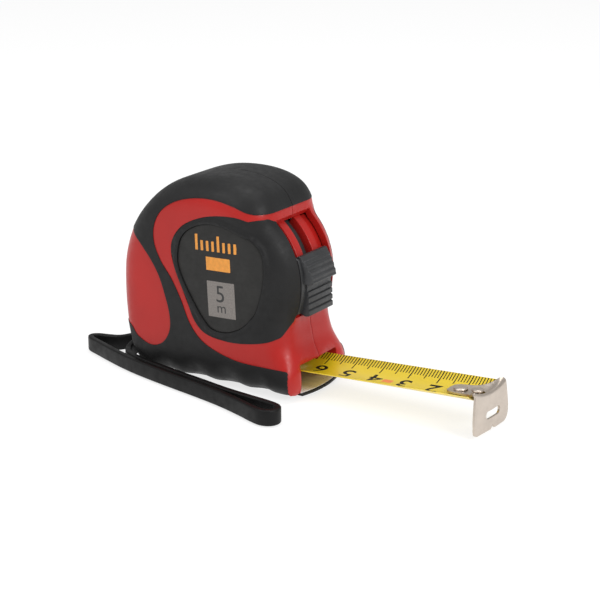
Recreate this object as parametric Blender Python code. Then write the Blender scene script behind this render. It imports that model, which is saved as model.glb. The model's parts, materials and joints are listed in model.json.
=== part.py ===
"""Pocket tape measure with a rubber-covered case, a thumb lock, a half-drawn blade and a wrist strap.

Every length in this file is in millimetres and is turned into metres when a mesh is made.
The case frame has +X along the drawn blade, +Z up, x = 0 at the mouth, y = 0 on the seam between
the two case halves and z = 0 on the sole. The whole tool leans nose up in the world, because it
stands on the rear end of its sole and on the tip of its hook, which hangs lower than the sole.
"""

import math

import bmesh
import bpy
from mathutils import Matrix, Vector

MM = 0.001

# The case.
HALF_WIDTH = 18.0
SEAM_GAP = 0.15          # each half stops this far from the seam plane
FIT_GAP = 0.3            # between neighbouring pieces
RUBBER = 1.5             # depth of the recess that holds the rubber
SOLE_REAR = -56.0        # rear end of the flat sole
SOLE_DROP = 1.7          # the sole falls this much from its rear end to the nose
CASE_CENTRE = (-32.0, 33.0)
NOSE_TAPER_START = -22.0
# The nose's share of the full width, by height.
NOSE_WIDTHS = ((0.0, 0.92), (4.5, 0.94), (8.5, 0.87), (13.0, 0.85), (20.0, 0.79))
FOOT_TAPER_TOP = 12.0
FOOT_WIDTH_SHARE = 0.92
OUTLINE_STEP = 3.2

# The thumb lock and its arched slot, round an axis across the case.
LOCK_AXIS = (-25.7, 33.5)
FRONT_RADIUS = 25.7
LOCK_ARC = (-23.4, 19.3)
SLOT_ARC = (-25.2, 48.5)
SLOT_HALF_WIDTH = 8.6
RAIL_RADIUS = 23.9
RAIL_BACK_RADIUS = 21.5
SLIT_HALF_WIDTH = 2.6
LOCK_HALF_WIDTH = 7.5
STEM_HALF_WIDTH = 2.2

# The blade, its hook and the mouth.
BLADE_WIDTH = 19.0
BLADE_SAG = 2.3
BLADE_THICKNESS = 0.25
BLADE_TROUGH = 4.2       # upper face of the blade on its centre line
BLADE_BACK = -0.8
BLADE_END = 57.0
HOOK_FACE = 59.4
HOOK_THICKNESS = 0.9
HOOK_HALF_WIDTH = 10.6
HOOK_BEND = 1.6
HOOK_CORNER = 1.2
HOOK_BOTTOM = -5.2
TONGUE_BACK = 45.3
NOTCH_Y = 0.9            # the nail slot and the notch sit a little off the middle
SLOT_Z = -1.0
NAIL_SLOT = (8.6, 2.2)
NOTCH_HALF_WIDTH = 1.5
NOTCH_DEPTH = 1.2
RIVET_X = (49.2, 55.1)
RIVET_SHANK = 1.0
RIVET_HEAD = 2.1
HOOK_FLOAT = 0.8         # the hook slides this far on its rivets
TONGUE_ROWS = (          # x and half-width of the tongue from its back end to the bend
    (TONGUE_BACK, 2.6), (46.2, 3.2), (48.0, 3.6), (51.0, 3.9), (53.6, 4.6), (55.4, 6.0), (56.8, 8.4),
    (HOOK_FACE - HOOK_BEND, HOOK_HALF_WIDTH),
)
MOUTH_HALF_WIDTH = 10.2
MOUTH_TOP = 9.0
SILL_TOP = -0.7          # top of the rubber sill between the jaws
PLATE_THICKNESS = 0.4
JAW_BACK = -1.3          # the jaws are red in front of this

# The reel inside.
REEL_CENTRE = (-33.0, 34.0)
CHAMBER_RADIUS = 24.6
CHAMBER_HALF_WIDTH = 11.6
RECESS_RADIUS = 17.5     # shallower hollows beside the reel, for the spindle's seats
RECESS_HALF_WIDTH = 15.0
FLANGE_RADIUS = 23.4
COIL_RADIUS = 21.8
HUB_RADIUS = 14.8
HUB_WALL = 1.3
COIL_HALF_WIDTH = 9.5
FLANGE_THICKNESS = 0.7
SPINDLE_RADIUS = 3.0
SPRING_TURNS = 4

# Screws, driven from the right-hand side.
SCREWS = ((-57.0, 11.5), (-16.5, 12.6), (-21.0, 58.5), (-50.0, 55.0))
SCREW_HEAD_Y = 13.2

# The belt clip, on the right-hand side.
CLIP_X = -33.0
CLIP_HALF_WIDTH = 7.0
CLIP_THICKNESS = 1.0
CLIP_BENDS = (           # clearance from the case and height, from the top down
    (0.0, 54.0), (0.0, 45.6), (4.6, 42.0), (5.3, 38.0), (5.2, 24.0), (2.4, 16.5), (3.8, 11.5),
)
CLIP_SCREW_Z = 50.0
CLIP_SCREW_DEPTH = 12.8

# The wrist strap: a flat band on edge.
STRAP_HEIGHT = 5.0
STRAP_THICKNESS = 2.0

# The stance: the hook's tip and the rear end of the sole both touch z = 0 in the world.
LEAN = math.atan2(-HOOK_BOTTOM, HOOK_FACE - HOOK_THICKNESS - SOLE_REAR)
ORIGIN_SHIFT = (3.85, -3.3)  # centres the tool, without its strap, on the world's origin


def sole_height(x):
    """The sole slopes down a little from its rear end to the nose."""
    return -SOLE_DROP * (x - SOLE_REAR) / -SOLE_REAR


# Seam outline of the case in the XZ plane: x, z, then how far the edge rounding runs inwards
# and how far it runs across the case.
NOSE_OUTLINE = (
    (-42.0, sole_height(-42.0), 4.0, 4.0),
    (-22.0, sole_height(-22.0), 4.0, 4.0),
    (-8.0, sole_height(-8.0), 4.2, 4.6),
    (-1.2, sole_height(-1.2), 2.8, 3.8),
    (-0.1, -0.4, 2.2, 3.0),
    (0.0, 4.6, 1.8, 2.2),
    (0.0, 6.8, 3.4, 3.8),
    (-0.1, 8.6, 5.6, 5.6),
    (-0.4, 9.9, 8.0, 6.4),
    (-1.4, 10.8, 9.5, 6.4),
    (-2.5, 11.7, 10.5, 6.4),
    (-3.0, 13.4, 12.0, 6.5),
    (-3.1, 16.0, 13.0, 6.6),
)
CROWN_OUTLINE = (
    (-7.8, 54.2, 11.0, 9.0),
    (-9.1, 57.2, 10.0, 9.0),
    (-10.9, 60.0, 9.5, 9.0),
    (-14.4, 62.3, 9.0, 9.0),
    (-20.0, 64.1, 8.5, 9.0),
    (-28.0, 64.9, 8.0, 9.0),
    (-37.0, 64.3, 8.0, 9.0),
    (-46.0, 61.5, 8.0, 9.0),
    (-54.0, 56.0, 8.0, 9.2),
    (-60.7, 48.2, 8.0, 9.5),
    (-64.9, 38.0, 8.0, 9.5),
    (-66.1, 27.0, 8.0, 9.5),
    (-65.3, 16.0, 7.0, 8.5),
    (-63.0, 7.0, 5.5, 6.5),
    (-60.4, 2.2, 4.5, 5.0),
    (SOLE_REAR, 0.0, 4.0, 4.0),
)

# Borders of the rubber and of the red plastic, seen from the side.
SWOOSH_OUTER = (
    (12.0, 55.3), (-8.0, 55.4), (-13.0, 56.0), (-18.5, 58.0), (-25.5, 59.4), (-33.0, 59.2),
    (-40.0, 57.4), (-45.4, 54.0), (-48.3, 49.0), (-48.6, 43.5), (-46.4, 38.0), (-42.6, 32.6),
    (-39.4, 26.3), (-36.6, 19.3), (-32.6, 14.3), (-26.8, 11.2), (-18.8, 9.0), (-9.8, 8.2),
    (-1.7, 7.7),
)
LEAF = (
    (-76.0, 16.5), (-62.0, 15.6), (-57.5, 11.8), (-52.5, 9.6), (-47.8, 11.0), (-44.7, 15.2),
    (-44.2, 20.5), (-45.6, 27.0), (-48.0, 34.0), (-52.5, 40.8), (-58.0, 46.0), (-76.0, 58.0),
)
PANEL_BACK = (
    (-13.0, 53.6), (-17.6, 54.7), (-25.5, 54.4), (-32.0, 52.8), (-37.6, 50.0), (-41.2, 45.8),
    (-42.2, 41.2), (-41.2, 36.4), (-39.2, 31.2), (-36.9, 25.4), (-34.3, 19.8), (-30.9, 16.6),
    (-25.8, 15.3), (-17.8, 15.4), (-10.4, 17.4),
)
LABEL = (
    (-39.6, 42.0), (-37.6, 47.0), (-32.8, 50.4), (-25.6, 51.8), (-17.0, 49.8), (-10.6, 45.2),
    (-8.9, 38.6), (-10.6, 29.2), (-15.0, 21.4), (-21.4, 17.9), (-27.6, 18.0), (-31.6, 21.6),
    (-36.6, 29.6), (-39.6, 36.6),
)

# Middle line of the strap from one end to the other, in the world's axes, before ORIGIN_SHIFT.
STRAP_ROUTE = (
    (-60.1, 0.2, 5.7), (-63.8, -0.2, 5.6), (-67.4, -2.2, 4.9), (-71.0, -4.8, 3.8),
    (-75.0, -6.8, 2.8), (-79.0, -8.0, 2.6), (-82.3, -9.0, 2.6), (-83.8, -10.7, 2.6),
    (-82.4, -12.5, 2.6), (-78.0, -14.2, 2.6), (-71.0, -16.8, 2.6), (-64.0, -19.2, 2.6),
    (-57.0, -21.2, 2.6), (-48.0, -23.2, 2.6), (-38.0, -25.1, 2.6), (-27.0, -27.1, 2.6),
    (-17.0, -29.3, 2.6), (-8.0, -32.0, 2.6), (-2.6, -33.9, 2.6), (1.2, -34.7, 2.6),
    (3.9, -33.6, 2.6), (4.6, -31.2, 2.6), (3.0, -29.0, 2.6), (-1.0, -28.0, 2.6),
    (-9.0, -27.3, 2.6), (-18.0, -26.3, 2.6), (-27.0, -24.7, 2.6), (-38.0, -22.8, 2.6),
    (-48.0, -20.9, 2.6), (-57.0, -18.9, 2.6), (-62.6, -16.8, 2.6), (-66.0, -13.4, 2.8),
    (-66.6, -9.4, 3.8), (-65.2, -6.2, 5.0), (-62.9, -4.4, 5.6), (-60.1, -4.0, 5.7),
)
STRAP_PIN = (-61.3, -1.9)


def clear_scene():
    for old in list(bpy.data.objects):
        bpy.data.objects.remove(old, do_unlink=True)


def material(name, colour, roughness, metallic=0.0):
    made = bpy.data.materials.new(name)
    made.use_nodes = True
    shader = made.node_tree.nodes["Principled BSDF"]
    shader.inputs["Base Color"].default_value = (*colour, 1.0)
    shader.inputs["Roughness"].default_value = roughness
    shader.inputs["Metallic"].default_value = metallic
    return made


def add_object(name, points, faces, shiny=None):
    """A mesh object from points in millimetres, with its faces turned outwards."""
    mesh = bpy.data.meshes.new(name)
    mesh.from_pydata([Vector(p) * MM for p in points], [], faces)
    grid = bmesh.new()
    grid.from_mesh(mesh)
    bmesh.ops.recalc_face_normals(grid, faces=grid.faces)
    grid.to_mesh(mesh)
    grid.free()
    made = bpy.data.objects.new(name, mesh)
    bpy.context.scene.collection.objects.link(made)
    if shiny:
        mesh.materials.append(shiny)
    return made


def smooth(piece, angle=30.0):
    piece.data.shade_smooth()
    piece.data.set_sharp_from_angle(angle=math.radians(angle))


def as_cutter(piece):
    piece.hide_render = True
    piece.display_type = "WIRE"
    return piece


def boolean(piece, operation, cutter):
    """Adds an exact Boolean of piece with a cutter, which is left out of the model."""
    as_cutter(cutter)
    step = piece.modifiers.new(cutter.name, "BOOLEAN")
    step.operation = operation
    step.solver = "EXACT"
    step.object = cutter
    return piece


def spline(points, step, closed=False):
    """Points about a step apart on a Catmull-Rom curve through the given ones."""
    count = len(points)
    dimensions = range(len(points[0]))
    spans = count if closed else count - 1
    made = []
    for n in range(spans):
        if closed:
            a, b, c, d = (points[(n + k) % count] for k in (-1, 0, 1, 2))
        else:
            a, b, c, d = (points[min(max(n + k, 0), count - 1)] for k in (-1, 0, 1, 2))
        reach = math.dist(b[:3] if len(b) == 3 else b[:2], c[:3] if len(c) == 3 else c[:2])
        pieces = max(1, round(reach / step))
        for k in range(pieces):
            t = k / pieces
            made.append(tuple(
                0.5 * (2 * b[i] + (c[i] - a[i]) * t + (2 * a[i] - 5 * b[i] + 4 * c[i] - d[i]) * t * t
                       + (3 * b[i] - a[i] - 3 * c[i] + d[i]) * t ** 3)
                for i in dimensions
            ))
    if not closed:
        made.append(tuple(points[-1]))
    return made


def polar(radius, degrees, centre=LOCK_AXIS):
    """An XZ point at an angle above +X round a centre."""
    angle = math.radians(degrees)
    return centre[0] + radius * math.cos(angle), centre[1] + radius * math.sin(angle)


def arc(radius, first, last, steps, centre=LOCK_AXIS):
    return [polar(radius, first + (last - first) * n / steps, centre) for n in range(steps + 1)]


def prism(name, outline, low_y, high_y):
    """A solid from a closed XZ outline, between two values of y."""
    count = len(outline)
    points = [(x, low_y, z) for x, z in outline] + [(x, high_y, z) for x, z in outline]
    faces = [tuple(range(count)), tuple(range(2 * count - 1, count - 1, -1))]
    faces += [(n, (n + 1) % count, (n + 1) % count + count, n + count) for n in range(count)]
    return add_object(name, points, faces)


def box(name, low, high):
    outline = [(low[0], low[2]), (high[0], low[2]), (high[0], high[2]), (low[0], high[2])]
    return prism(name, outline, low[1], high[1])


def disc(name, centre, radius, low_y, high_y, sides=32):
    ring = [polar(radius, 360.0 * n / sides, centre) for n in range(sides)]
    return prism(name, ring, low_y, high_y)


def turned(name, profile, centre, sides, shiny):
    """A ring turned round an axis across the case, from a closed profile of radius and y."""
    points, faces = [], []
    count = len(profile)
    for n in range(sides):
        for radius, y in profile:
            x, z = polar(radius, 360.0 * n / sides, centre)
            points.append((x, y, z))
    for n in range(sides):
        here, there = n * count, (n + 1) % sides * count
        for k in range(count):
            after = (k + 1) % count
            faces.append((here + k, here + after, there + after, there + k))
    made = add_object(name, points, faces, shiny)
    smooth(made)
    return made


def grow(outline, distance):
    """The closed outline moved outwards by a small distance."""
    count = len(outline)
    area = sum(outline[n][0] * outline[(n + 1) % count][1] - outline[(n + 1) % count][0] * outline[n][1]
               for n in range(count))
    side = 1.0 if area > 0 else -1.0
    made = []
    for n in range(count):
        before, after = outline[n - 1], outline[(n + 1) % count]
        along = Vector((after[0] - before[0], after[1] - before[1])).normalized()
        made.append((outline[n][0] + side * distance * along.y, outline[n][1] - side * distance * along.x))
    return made


def case_outline():
    """Seam outline of the case with its rounding, as (x, z, depth, width), from the sole round the nose."""
    front = []
    for n in range(9):
        degrees = -30.0 + 9.75 * n
        x, z = polar(FRONT_RADIUS, degrees)
        front.append((x, z, 12.5, 9.2 if degrees > -18 else 8.4))
    return spline(NOSE_OUTLINE + tuple(front) + CROWN_OUTLINE, OUTLINE_STEP, closed=True)


def nose_share(z):
    """Width of the nose at a height, as a share of the case's width: the jaws flare out."""
    for (low, wide), (high, narrow) in zip(NOSE_WIDTHS, NOSE_WIDTHS[1:]):
        if z < high:
            return wide + (narrow - wide) * max(z - low, 0.0) / (high - low)
    return NOSE_WIDTHS[-1][1]


def width_share(x, z):
    """How wide the case is at a point of its side, as a share of its full width."""
    toward_nose = min(max((x - NOSE_TAPER_START) / -NOSE_TAPER_START, 0.0), 1.0)
    below = min(max(1.0 - z / FOOT_TAPER_TOP, 0.0), 1.0)
    nose = 1.0 - (1.0 - nose_share(z)) * toward_nose ** 1.6
    foot = 1.0 - (1.0 - FOOT_WIDTH_SHARE) * below ** 2 * (1.0 - toward_nose)
    return nose * foot


def case_block(name, side, inset=0.0):
    """A solid half of the case, on the side -1 (left) or 1 (right), drawn in by an inset."""
    outline = case_outline()
    count = len(outline)
    core = []
    for n, (x, z, depth, width) in enumerate(outline):
        before, after = outline[n - 1], outline[(n + 1) % count]
        inward = Vector((before[1] - after[1], after[0] - before[0])).normalized()
        to_centre = Vector((CASE_CENTRE[0] - x, CASE_CENTRE[1] - z)).normalized()
        drawn = inset / max(0.6, inward.dot(to_centre))
        core.append((x + to_centre.x * drawn, z + to_centre.y * drawn,
                     max(depth - inset, 0.8), max(width - inset, 0.8), to_centre))
    half = HALF_WIDTH - inset
    rings = [[(x, SEAM_GAP, z) for x, z, _, _, _ in core]]
    for degrees in (0.0, 22.5, 45.0, 67.5, 90.0):
        angle = math.radians(degrees)
        ring = []
        for x, z, depth, width, to_centre in core:
            drawn = depth * (1.0 - math.cos(angle))
            px, pz = x + to_centre.x * drawn, z + to_centre.y * drawn
            ring.append((px, (half - width + width * math.sin(angle)) * width_share(px, pz), pz))
        rings.append(ring)
    for share in (0.6, 0.25):
        ring = []
        for x, _, z in rings[5]:
            px = CASE_CENTRE[0] + (x - CASE_CENTRE[0]) * share
            pz = CASE_CENTRE[1] + (z - CASE_CENTRE[1]) * share
            ring.append((px, half * width_share(px, pz), pz))
        rings.append(ring)
    points = [(x, side * y, z) for ring in rings for x, y, z in ring]
    faces = [tuple(range(count)), tuple(range(len(points) - 1, len(points) - count - 1, -1))]
    for k in range(len(rings) - 1):
        for n in range(count):
            after = (n + 1) % count
            faces.append((k * count + n, k * count + after, (k + 1) * count + after, (k + 1) * count + n))
    return add_object(name, points, faces)


def grip_outline():
    """Side view of the rubber that covers the top, the back and the sole, round the red leaf."""
    swoosh = spline(SWOOSH_OUTER, OUTLINE_STEP)
    leaf = spline(LEAF, OUTLINE_STEP)
    return swoosh + [(JAW_BACK, -8.0), (-76.0, -8.0)] + leaf + [(-76.0, 78.0), (12.0, 78.0)]


def panel_outline(side):
    """Side view of the inner rubber panel. On the right it stops short of the lock's slot."""
    back = spline(PANEL_BACK, OUTLINE_STEP)
    if side < 0:
        return back + [(-2.4, 22.6), (10.0, 22.6), (10.0, 52.2), (-9.2, 52.6)]
    return back + arc(FRONT_RADIUS - 5.0, -32.0, 52.0, 8)


def ring_band(name, inner, outer, first, last, half_width, steps=12):
    outline = arc(outer, first, last, steps) + arc(inner, last, first, steps)
    return prism(name, outline, -half_width, half_width)


def hollow_case(piece, side):
    """Cuts the reel chamber, the blade's channel, the mouth, the lock's slot and the strap's pocket."""
    name = piece.name
    boolean(piece, "DIFFERENCE", disc(f"{name}_cut_chamber", REEL_CENTRE, CHAMBER_RADIUS,
                                      -CHAMBER_HALF_WIDTH, CHAMBER_HALF_WIDTH, 48))
    boolean(piece, "DIFFERENCE", disc(f"{name}_cut_recess", REEL_CENTRE, RECESS_RADIUS,
                                      -RECESS_HALF_WIDTH, RECESS_HALF_WIDTH, 36))
    channel = [(-58.9, 3.2), (-8.0, 3.2), (-8.0, 9.0), (-20.0, 11.6), (-58.9, 11.6)]
    boolean(piece, "DIFFERENCE", prism(f"{name}_cut_channel", channel, -10.3, 10.3))
    boolean(piece, "DIFFERENCE", box(f"{name}_cut_mouth", (-12.0, -MOUTH_HALF_WIDTH, -3.0),
                                     (3.0, MOUTH_HALF_WIDTH, MOUTH_TOP)))
    boolean(piece, "DIFFERENCE", ring_band(f"{name}_cut_slot", RAIL_RADIUS, FRONT_RADIUS + 6.0,
                                           *SLOT_ARC, SLOT_HALF_WIDTH))
    boolean(piece, "DIFFERENCE", ring_band(f"{name}_cut_slit", RAIL_BACK_RADIUS - 1.0, FRONT_RADIUS,
                                           SLOT_ARC[0] + 1.0, SLOT_ARC[1] - 1.0, SLIT_HALF_WIDTH))
    boolean(piece, "DIFFERENCE", ring_band(f"{name}_cut_arm", 16.5, RAIL_BACK_RADIUS,
                                           -40.0, 58.0, 4.8))
    boolean(piece, "DIFFERENCE", box(f"{name}_cut_arm_foot", (-12.5, -4.75, 7.0), (-6.8, 4.75, 24.0)))
    boolean(piece, "DIFFERENCE", box(f"{name}_cut_strap", (-70.0, -6.2, 2.5), (-59.5, 2.4, 9.0)))
    cut_screw_holes(piece, side)


def cut_screw_holes(piece, side):
    """The four case screws, and on the right the seats of their heads and the clip's screw."""
    name = piece.name
    for number, (x, z) in enumerate(SCREWS, 1):
        boolean(piece, "DIFFERENCE", disc(f"{name}_cut_screw_{number}", (x, z), 1.5, -11.5, 30.0, 12))
        if side > 0:
            boolean(piece, "DIFFERENCE", disc(f"{name}_cut_seat_{number}", (x, z), 2.7,
                                              SCREW_HEAD_Y - FIT_GAP, 30.0, 16))
    if side > 0:
        boolean(piece, "DIFFERENCE", disc(f"{name}_cut_clip_screw", (CLIP_X, CLIP_SCREW_Z), 1.5,
                                          CLIP_SCREW_DEPTH, 30.0, 12))


def make_case_half(name, side, shiny):
    """One moulded half, with a recess for each rubber piece and everything hollow cut out."""
    piece = case_block(name, side)
    piece.data.materials.append(shiny)
    for label, outline in (("grip", grip_outline()), ("panel", panel_outline(side))):
        recess = prism(f"{name}_cut_{label}", outline, -30.0, 30.0)
        core = case_block(f"{name}_core_{label}", side, RUBBER)
        boolean(recess, "DIFFERENCE", core)
        boolean(piece, "DIFFERENCE", recess)
    hollow_case(piece, side)
    return piece


def make_rubber(name, side, outline, shiny):
    """Rubber that fills a recess of one case half, a little clear of it."""
    piece = case_block(name, side)
    piece.data.materials.append(shiny)
    boolean(piece, "DIFFERENCE", case_block(f"{name}_core", side, RUBBER - FIT_GAP))
    boolean(piece, "INTERSECT", prism(f"{name}_zone", grow(outline, -FIT_GAP), -30.0, 30.0))
    if side > 0:
        cut_screw_holes(piece, side)
    return piece


def make_grip(name, side, shiny):
    """Rubber over the top, the back and the sole, with the strip of sole between the mouth's jaws."""
    piece = make_rubber(name, side, grip_outline(), shiny)
    near, far = sorted((side * SEAM_GAP, side * (MOUTH_HALF_WIDTH - FIT_GAP)))
    boolean(piece, "UNION", box(f"{name}_lip", (-6.0, near, -1.5), (-0.4, far, SILL_TOP - 0.1)))
    boolean(piece, "DIFFERENCE", box(f"{name}_cut_mouth", (-12.0, -MOUTH_HALF_WIDTH, SILL_TOP),
                                     (3.0, MOUTH_HALF_WIDTH, MOUTH_TOP)))
    boolean(piece, "DIFFERENCE", box(f"{name}_cut_strap", (-70.0, -6.2, 2.5), (-59.5, 2.4, 9.0)))
    return piece


def make_panel(name, side, shiny):
    """The rubber panel inside the red swoosh. The left one has a window for the label."""
    piece = make_rubber(name, side, panel_outline(side), shiny)
    boolean(piece, "DIFFERENCE", ring_band(f"{name}_cut_slot", RAIL_RADIUS - 1.0, FRONT_RADIUS + 6.0,
                                           -40.0, 60.0, SLOT_HALF_WIDTH + FIT_GAP))
    if side < 0:
        window = spline(LABEL, OUTLINE_STEP, closed=True)
        boolean(piece, "DIFFERENCE", prism(f"{name}_cut_label", window, -30.0, 0.0))
    return piece


def make_label(name, shiny):
    outline = grow(spline(LABEL, OUTLINE_STEP, closed=True), -FIT_GAP)
    low = HALF_WIDTH - RUBBER + FIT_GAP
    piece = case_block(name, -1)
    piece.data.materials.append(shiny)
    boolean(piece, "DIFFERENCE", case_block(f"{name}_core", -1, HALF_WIDTH - low))
    boolean(piece, "INTERSECT", prism(f"{name}_zone", outline, -30.0, 0.0))
    return piece


def make_mouth_plate(name, shiny):
    low = SILL_TOP + FIT_GAP
    half = MOUTH_HALF_WIDTH - FIT_GAP
    piece = box(name, (-11.7, -half, low), (-0.6, half, low + PLATE_THICKNESS))
    piece.data.materials.append(shiny)
    return piece


def extrude_x(name, outline, low_x, high_x, shiny=None):
    """A solid from a closed YZ outline, between two values of x."""
    count = len(outline)
    points = [(low_x, y, z) for y, z in outline] + [(high_x, y, z) for y, z in outline]
    faces = [tuple(range(count)), tuple(range(2 * count - 1, count - 1, -1))]
    faces += [(n, (n + 1) % count, (n + 1) % count + count, n + count) for n in range(count)]
    return add_object(name, points, faces, shiny)


def upright_disc(name, x, y, radius, low_z, high_z, sides=16, shiny=None):
    ring = [(x + radius * math.cos(math.tau * n / sides), y + radius * math.sin(math.tau * n / sides))
            for n in range(sides)]
    points = [(px, py, low_z) for px, py in ring] + [(px, py, high_z) for px, py in ring]
    faces = [tuple(range(sides)), tuple(range(2 * sides - 1, sides - 1, -1))]
    faces += [(n, (n + 1) % sides, (n + 1) % sides + sides, n + sides) for n in range(sides)]
    return add_object(name, points, faces, shiny)


def blade_rise(y, sag=BLADE_SAG):
    """Height of the blade's hollow upper face above its middle, for a given sag."""
    if sag < 0.01:
        return 0.0
    half = BLADE_WIDTH / 2
    radius = (half ** 2 + sag ** 2) / (2 * sag)
    return radius - math.sqrt(radius ** 2 - y ** 2)


def make_blade(name, shiny):
    """The straight stretch of blade outside the mouth, with holes for the rivets."""
    across = [BLADE_WIDTH * (n / 12 - 0.5) for n in range(13)]
    outline = [(y, BLADE_TROUGH + blade_rise(y)) for y in across]
    outline += [(y, BLADE_TROUGH + blade_rise(y) - BLADE_THICKNESS) for y in reversed(across)]
    piece = extrude_x(name, outline, BLADE_BACK, BLADE_END, shiny)
    for number, x in enumerate(RIVET_X, 1):
        hole = upright_disc(f"{name}_cut_rivet_{number}", x, 0.0, RIVET_SHANK + FIT_GAP, 2.0, 9.0)
        boolean(piece, "DIFFERENCE", hole)
    return piece


def make_inner_run(name, shiny):
    """The blade between the mouth and the coil, which flattens as it rises to meet the coil."""
    path = spline(((-1.1, 0.0, 1.0), (-10.0, 0.2, 1.0), (-17.0, 1.8, 0.8), (-23.0, 4.4, 0.4),
                   (-28.0, 6.6, 0.1), (-33.0, 7.4, 0.0)), 3.0)
    across = [BLADE_WIDTH * (n / 8 - 0.5) for n in range(9)]
    points, faces = [], []
    for x, rise, share in path:
        upper = [(x, y, BLADE_TROUGH + rise + blade_rise(y, BLADE_SAG * share)) for y in across]
        points += upper + [(px, py, pz - BLADE_THICKNESS) for px, py, pz in reversed(upper)]
    count = 2 * len(across)
    for k in range(len(path) - 1):
        for n in range(count):
            after = (n + 1) % count
            faces.append((k * count + n, k * count + after, (k + 1) * count + after, (k + 1) * count + n))
    faces += [tuple(range(count)), tuple(range(len(points) - 1, len(points) - count - 1, -1))]
    return add_object(name, points, faces, shiny)


def make_hook(name, shiny):
    """Sheet-metal end hook: a curved tongue on the blade, a bend, and a face with a nail slot."""
    lift = BLADE_TROUGH + FIT_GAP + HOOK_THICKNESS
    across = [n / 5 - 1.0 for n in range(11)]
    points = []
    for x, half_width in TONGUE_ROWS:
        points += [(x, half_width * v, lift + tongue_rise(half_width * v)) for v in across]
    for degrees in (30.0, 60.0, 90.0):
        angle = math.radians(degrees)
        points += [(HOOK_FACE - HOOK_BEND + HOOK_BEND * math.sin(angle), HOOK_HALF_WIDTH * v,
                    lift + tongue_rise(HOOK_HALF_WIDTH * v) - HOOK_BEND * (1.0 - math.cos(angle)))
                   for v in across]
    for share in (0.5, 1.0):
        for v in across:
            top = lift + tongue_rise(HOOK_HALF_WIDTH * v) - HOOK_BEND
            bottom = HOOK_BOTTOM + HOOK_CORNER * max(0.0, (abs(v) - 0.8) / 0.2)
            points.append((HOOK_FACE, HOOK_HALF_WIDTH * v, top + (bottom - top) * share))
    count = len(across)
    faces = [(k * count + n, k * count + n + 1, (k + 1) * count + n + 1, (k + 1) * count + n)
             for k in range(len(points) // count - 1) for n in range(count - 1)]
    piece = add_object(name, points, faces, shiny)
    thicken(piece, HOOK_THICKNESS)
    for number, x in enumerate(RIVET_X, 1):
        hole = upright_disc(f"{name}_cut_rivet_{number}", x + HOOK_FLOAT / 2, 0.0,
                            RIVET_SHANK + HOOK_FLOAT / 2 + FIT_GAP, 2.0, 9.0)
        boolean(piece, "DIFFERENCE", hole)
    slot = [(NOTCH_Y + y, SLOT_Z + z) for y, z in rounded_slot(*NAIL_SLOT)]
    behind, before = HOOK_FACE - 4.0, HOOK_FACE + 3.0
    boolean(piece, "DIFFERENCE", extrude_x(f"{name}_cut_slot", slot, behind, before))
    below, tip = HOOK_BOTTOM - 1.0, HOOK_BOTTOM + NOTCH_DEPTH
    notch = [(NOTCH_Y - NOTCH_HALF_WIDTH, below), (NOTCH_Y + NOTCH_HALF_WIDTH, below),
             (NOTCH_Y + 0.3, tip), (NOTCH_Y - 0.3, tip)]
    boolean(piece, "DIFFERENCE", extrude_x(f"{name}_cut_notch", notch, behind, before))
    return piece


def tongue_rise(y):
    """The hook's tongue follows the blade's hollow a little beyond the blade's edges."""
    return blade_rise(max(-9.5, min(9.5, y)))


def rounded_slot(length, width, steps=5):
    """Closed outline of a slot with round ends, centred on zero."""
    made = []
    for sign in (1.0, -1.0):
        for n in range(steps + 1):
            angle = math.pi * (n / steps - 0.5)
            made.append((sign * ((length - width) / 2 + width / 2 * math.cos(angle)),
                         sign * width / 2 * math.sin(angle)))
    return made


def thicken(piece, thickness):
    """Gives an open sheet a thickness behind its outer face."""
    step = piece.modifiers.new("thickness", "SOLIDIFY")
    step.thickness = thickness * MM
    step.offset = -1.0
    step.use_even_offset = True
    return piece


def make_rivet(name, x, shiny):
    """A pan-headed rivet through the tongue and the blade."""
    top = BLADE_TROUGH + 2 * FIT_GAP + HOOK_THICKNESS
    under = BLADE_TROUGH - BLADE_THICKNESS - FIT_GAP
    profile = [(RIVET_HEAD, top), (2.0, top + 0.5), (1.3, top + 0.8), (0.0, top + 0.85)]
    lower = [(0.0, under - 0.5), (1.6, under - 0.5), (1.7, under), (RIVET_SHANK, under), (RIVET_SHANK, top)]
    rows = lower + profile
    sides = 16
    points, faces, rings = [], [], []
    for radius, z in rows:
        if radius == 0.0:
            rings.append([len(points)] * sides)
            points.append((x, 0.0, z))
        else:
            rings.append(list(range(len(points), len(points) + sides)))
            turns = [math.tau * n / sides for n in range(sides)]
            points += [(x + radius * math.cos(turn), radius * math.sin(turn), z) for turn in turns]
    for first, second in zip(rings, rings[1:]):
        for n in range(sides):
            after = (n + 1) % sides
            corners = [first[n], first[after], second[after], second[n]]
            faces.append(tuple(dict.fromkeys(corners)))
    return add_object(name, points, faces, shiny)


def make_lock(name, shiny):
    """The thumb lock: a ribbed slider with a hooded upper half, on the arched slot."""
    low, high = LOCK_ARC
    outer = [polar(25.0, low), polar(26.0, low + 0.8)]
    for groove in (-18.6, -14.0, -9.4):
        outer += [polar(26.2, groove - 0.9), polar(25.6, groove), polar(26.2, groove + 0.9)]
    outer += [polar(25.9, -4.2), polar(27.7, -2.4), polar(27.9, -0.8)]
    for groove in (2.6, 6.8, 11.0, 15.2):
        crest = 27.9 - 0.11 * (groove + 0.8)
        outer += [polar(crest, groove - 0.9), polar(crest - 0.65, groove), polar(crest - 0.1, groove + 0.9)]
    outer += [polar(25.4, high - 0.6), polar(24.8, high)]
    outline = outer + arc(RAIL_RADIUS + FIT_GAP, high, low, 10)
    piece = prism(name, outline, -LOCK_HALF_WIDTH, LOCK_HALF_WIDTH)
    piece.data.materials.append(shiny)
    boolean(piece, "UNION", ring_band(f"{name}_stem", RAIL_BACK_RADIUS + 0.2, RAIL_RADIUS + 0.7,
                                      low + 5.0, high - 5.0, STEM_HALF_WIDTH, 6))
    return piece


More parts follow.
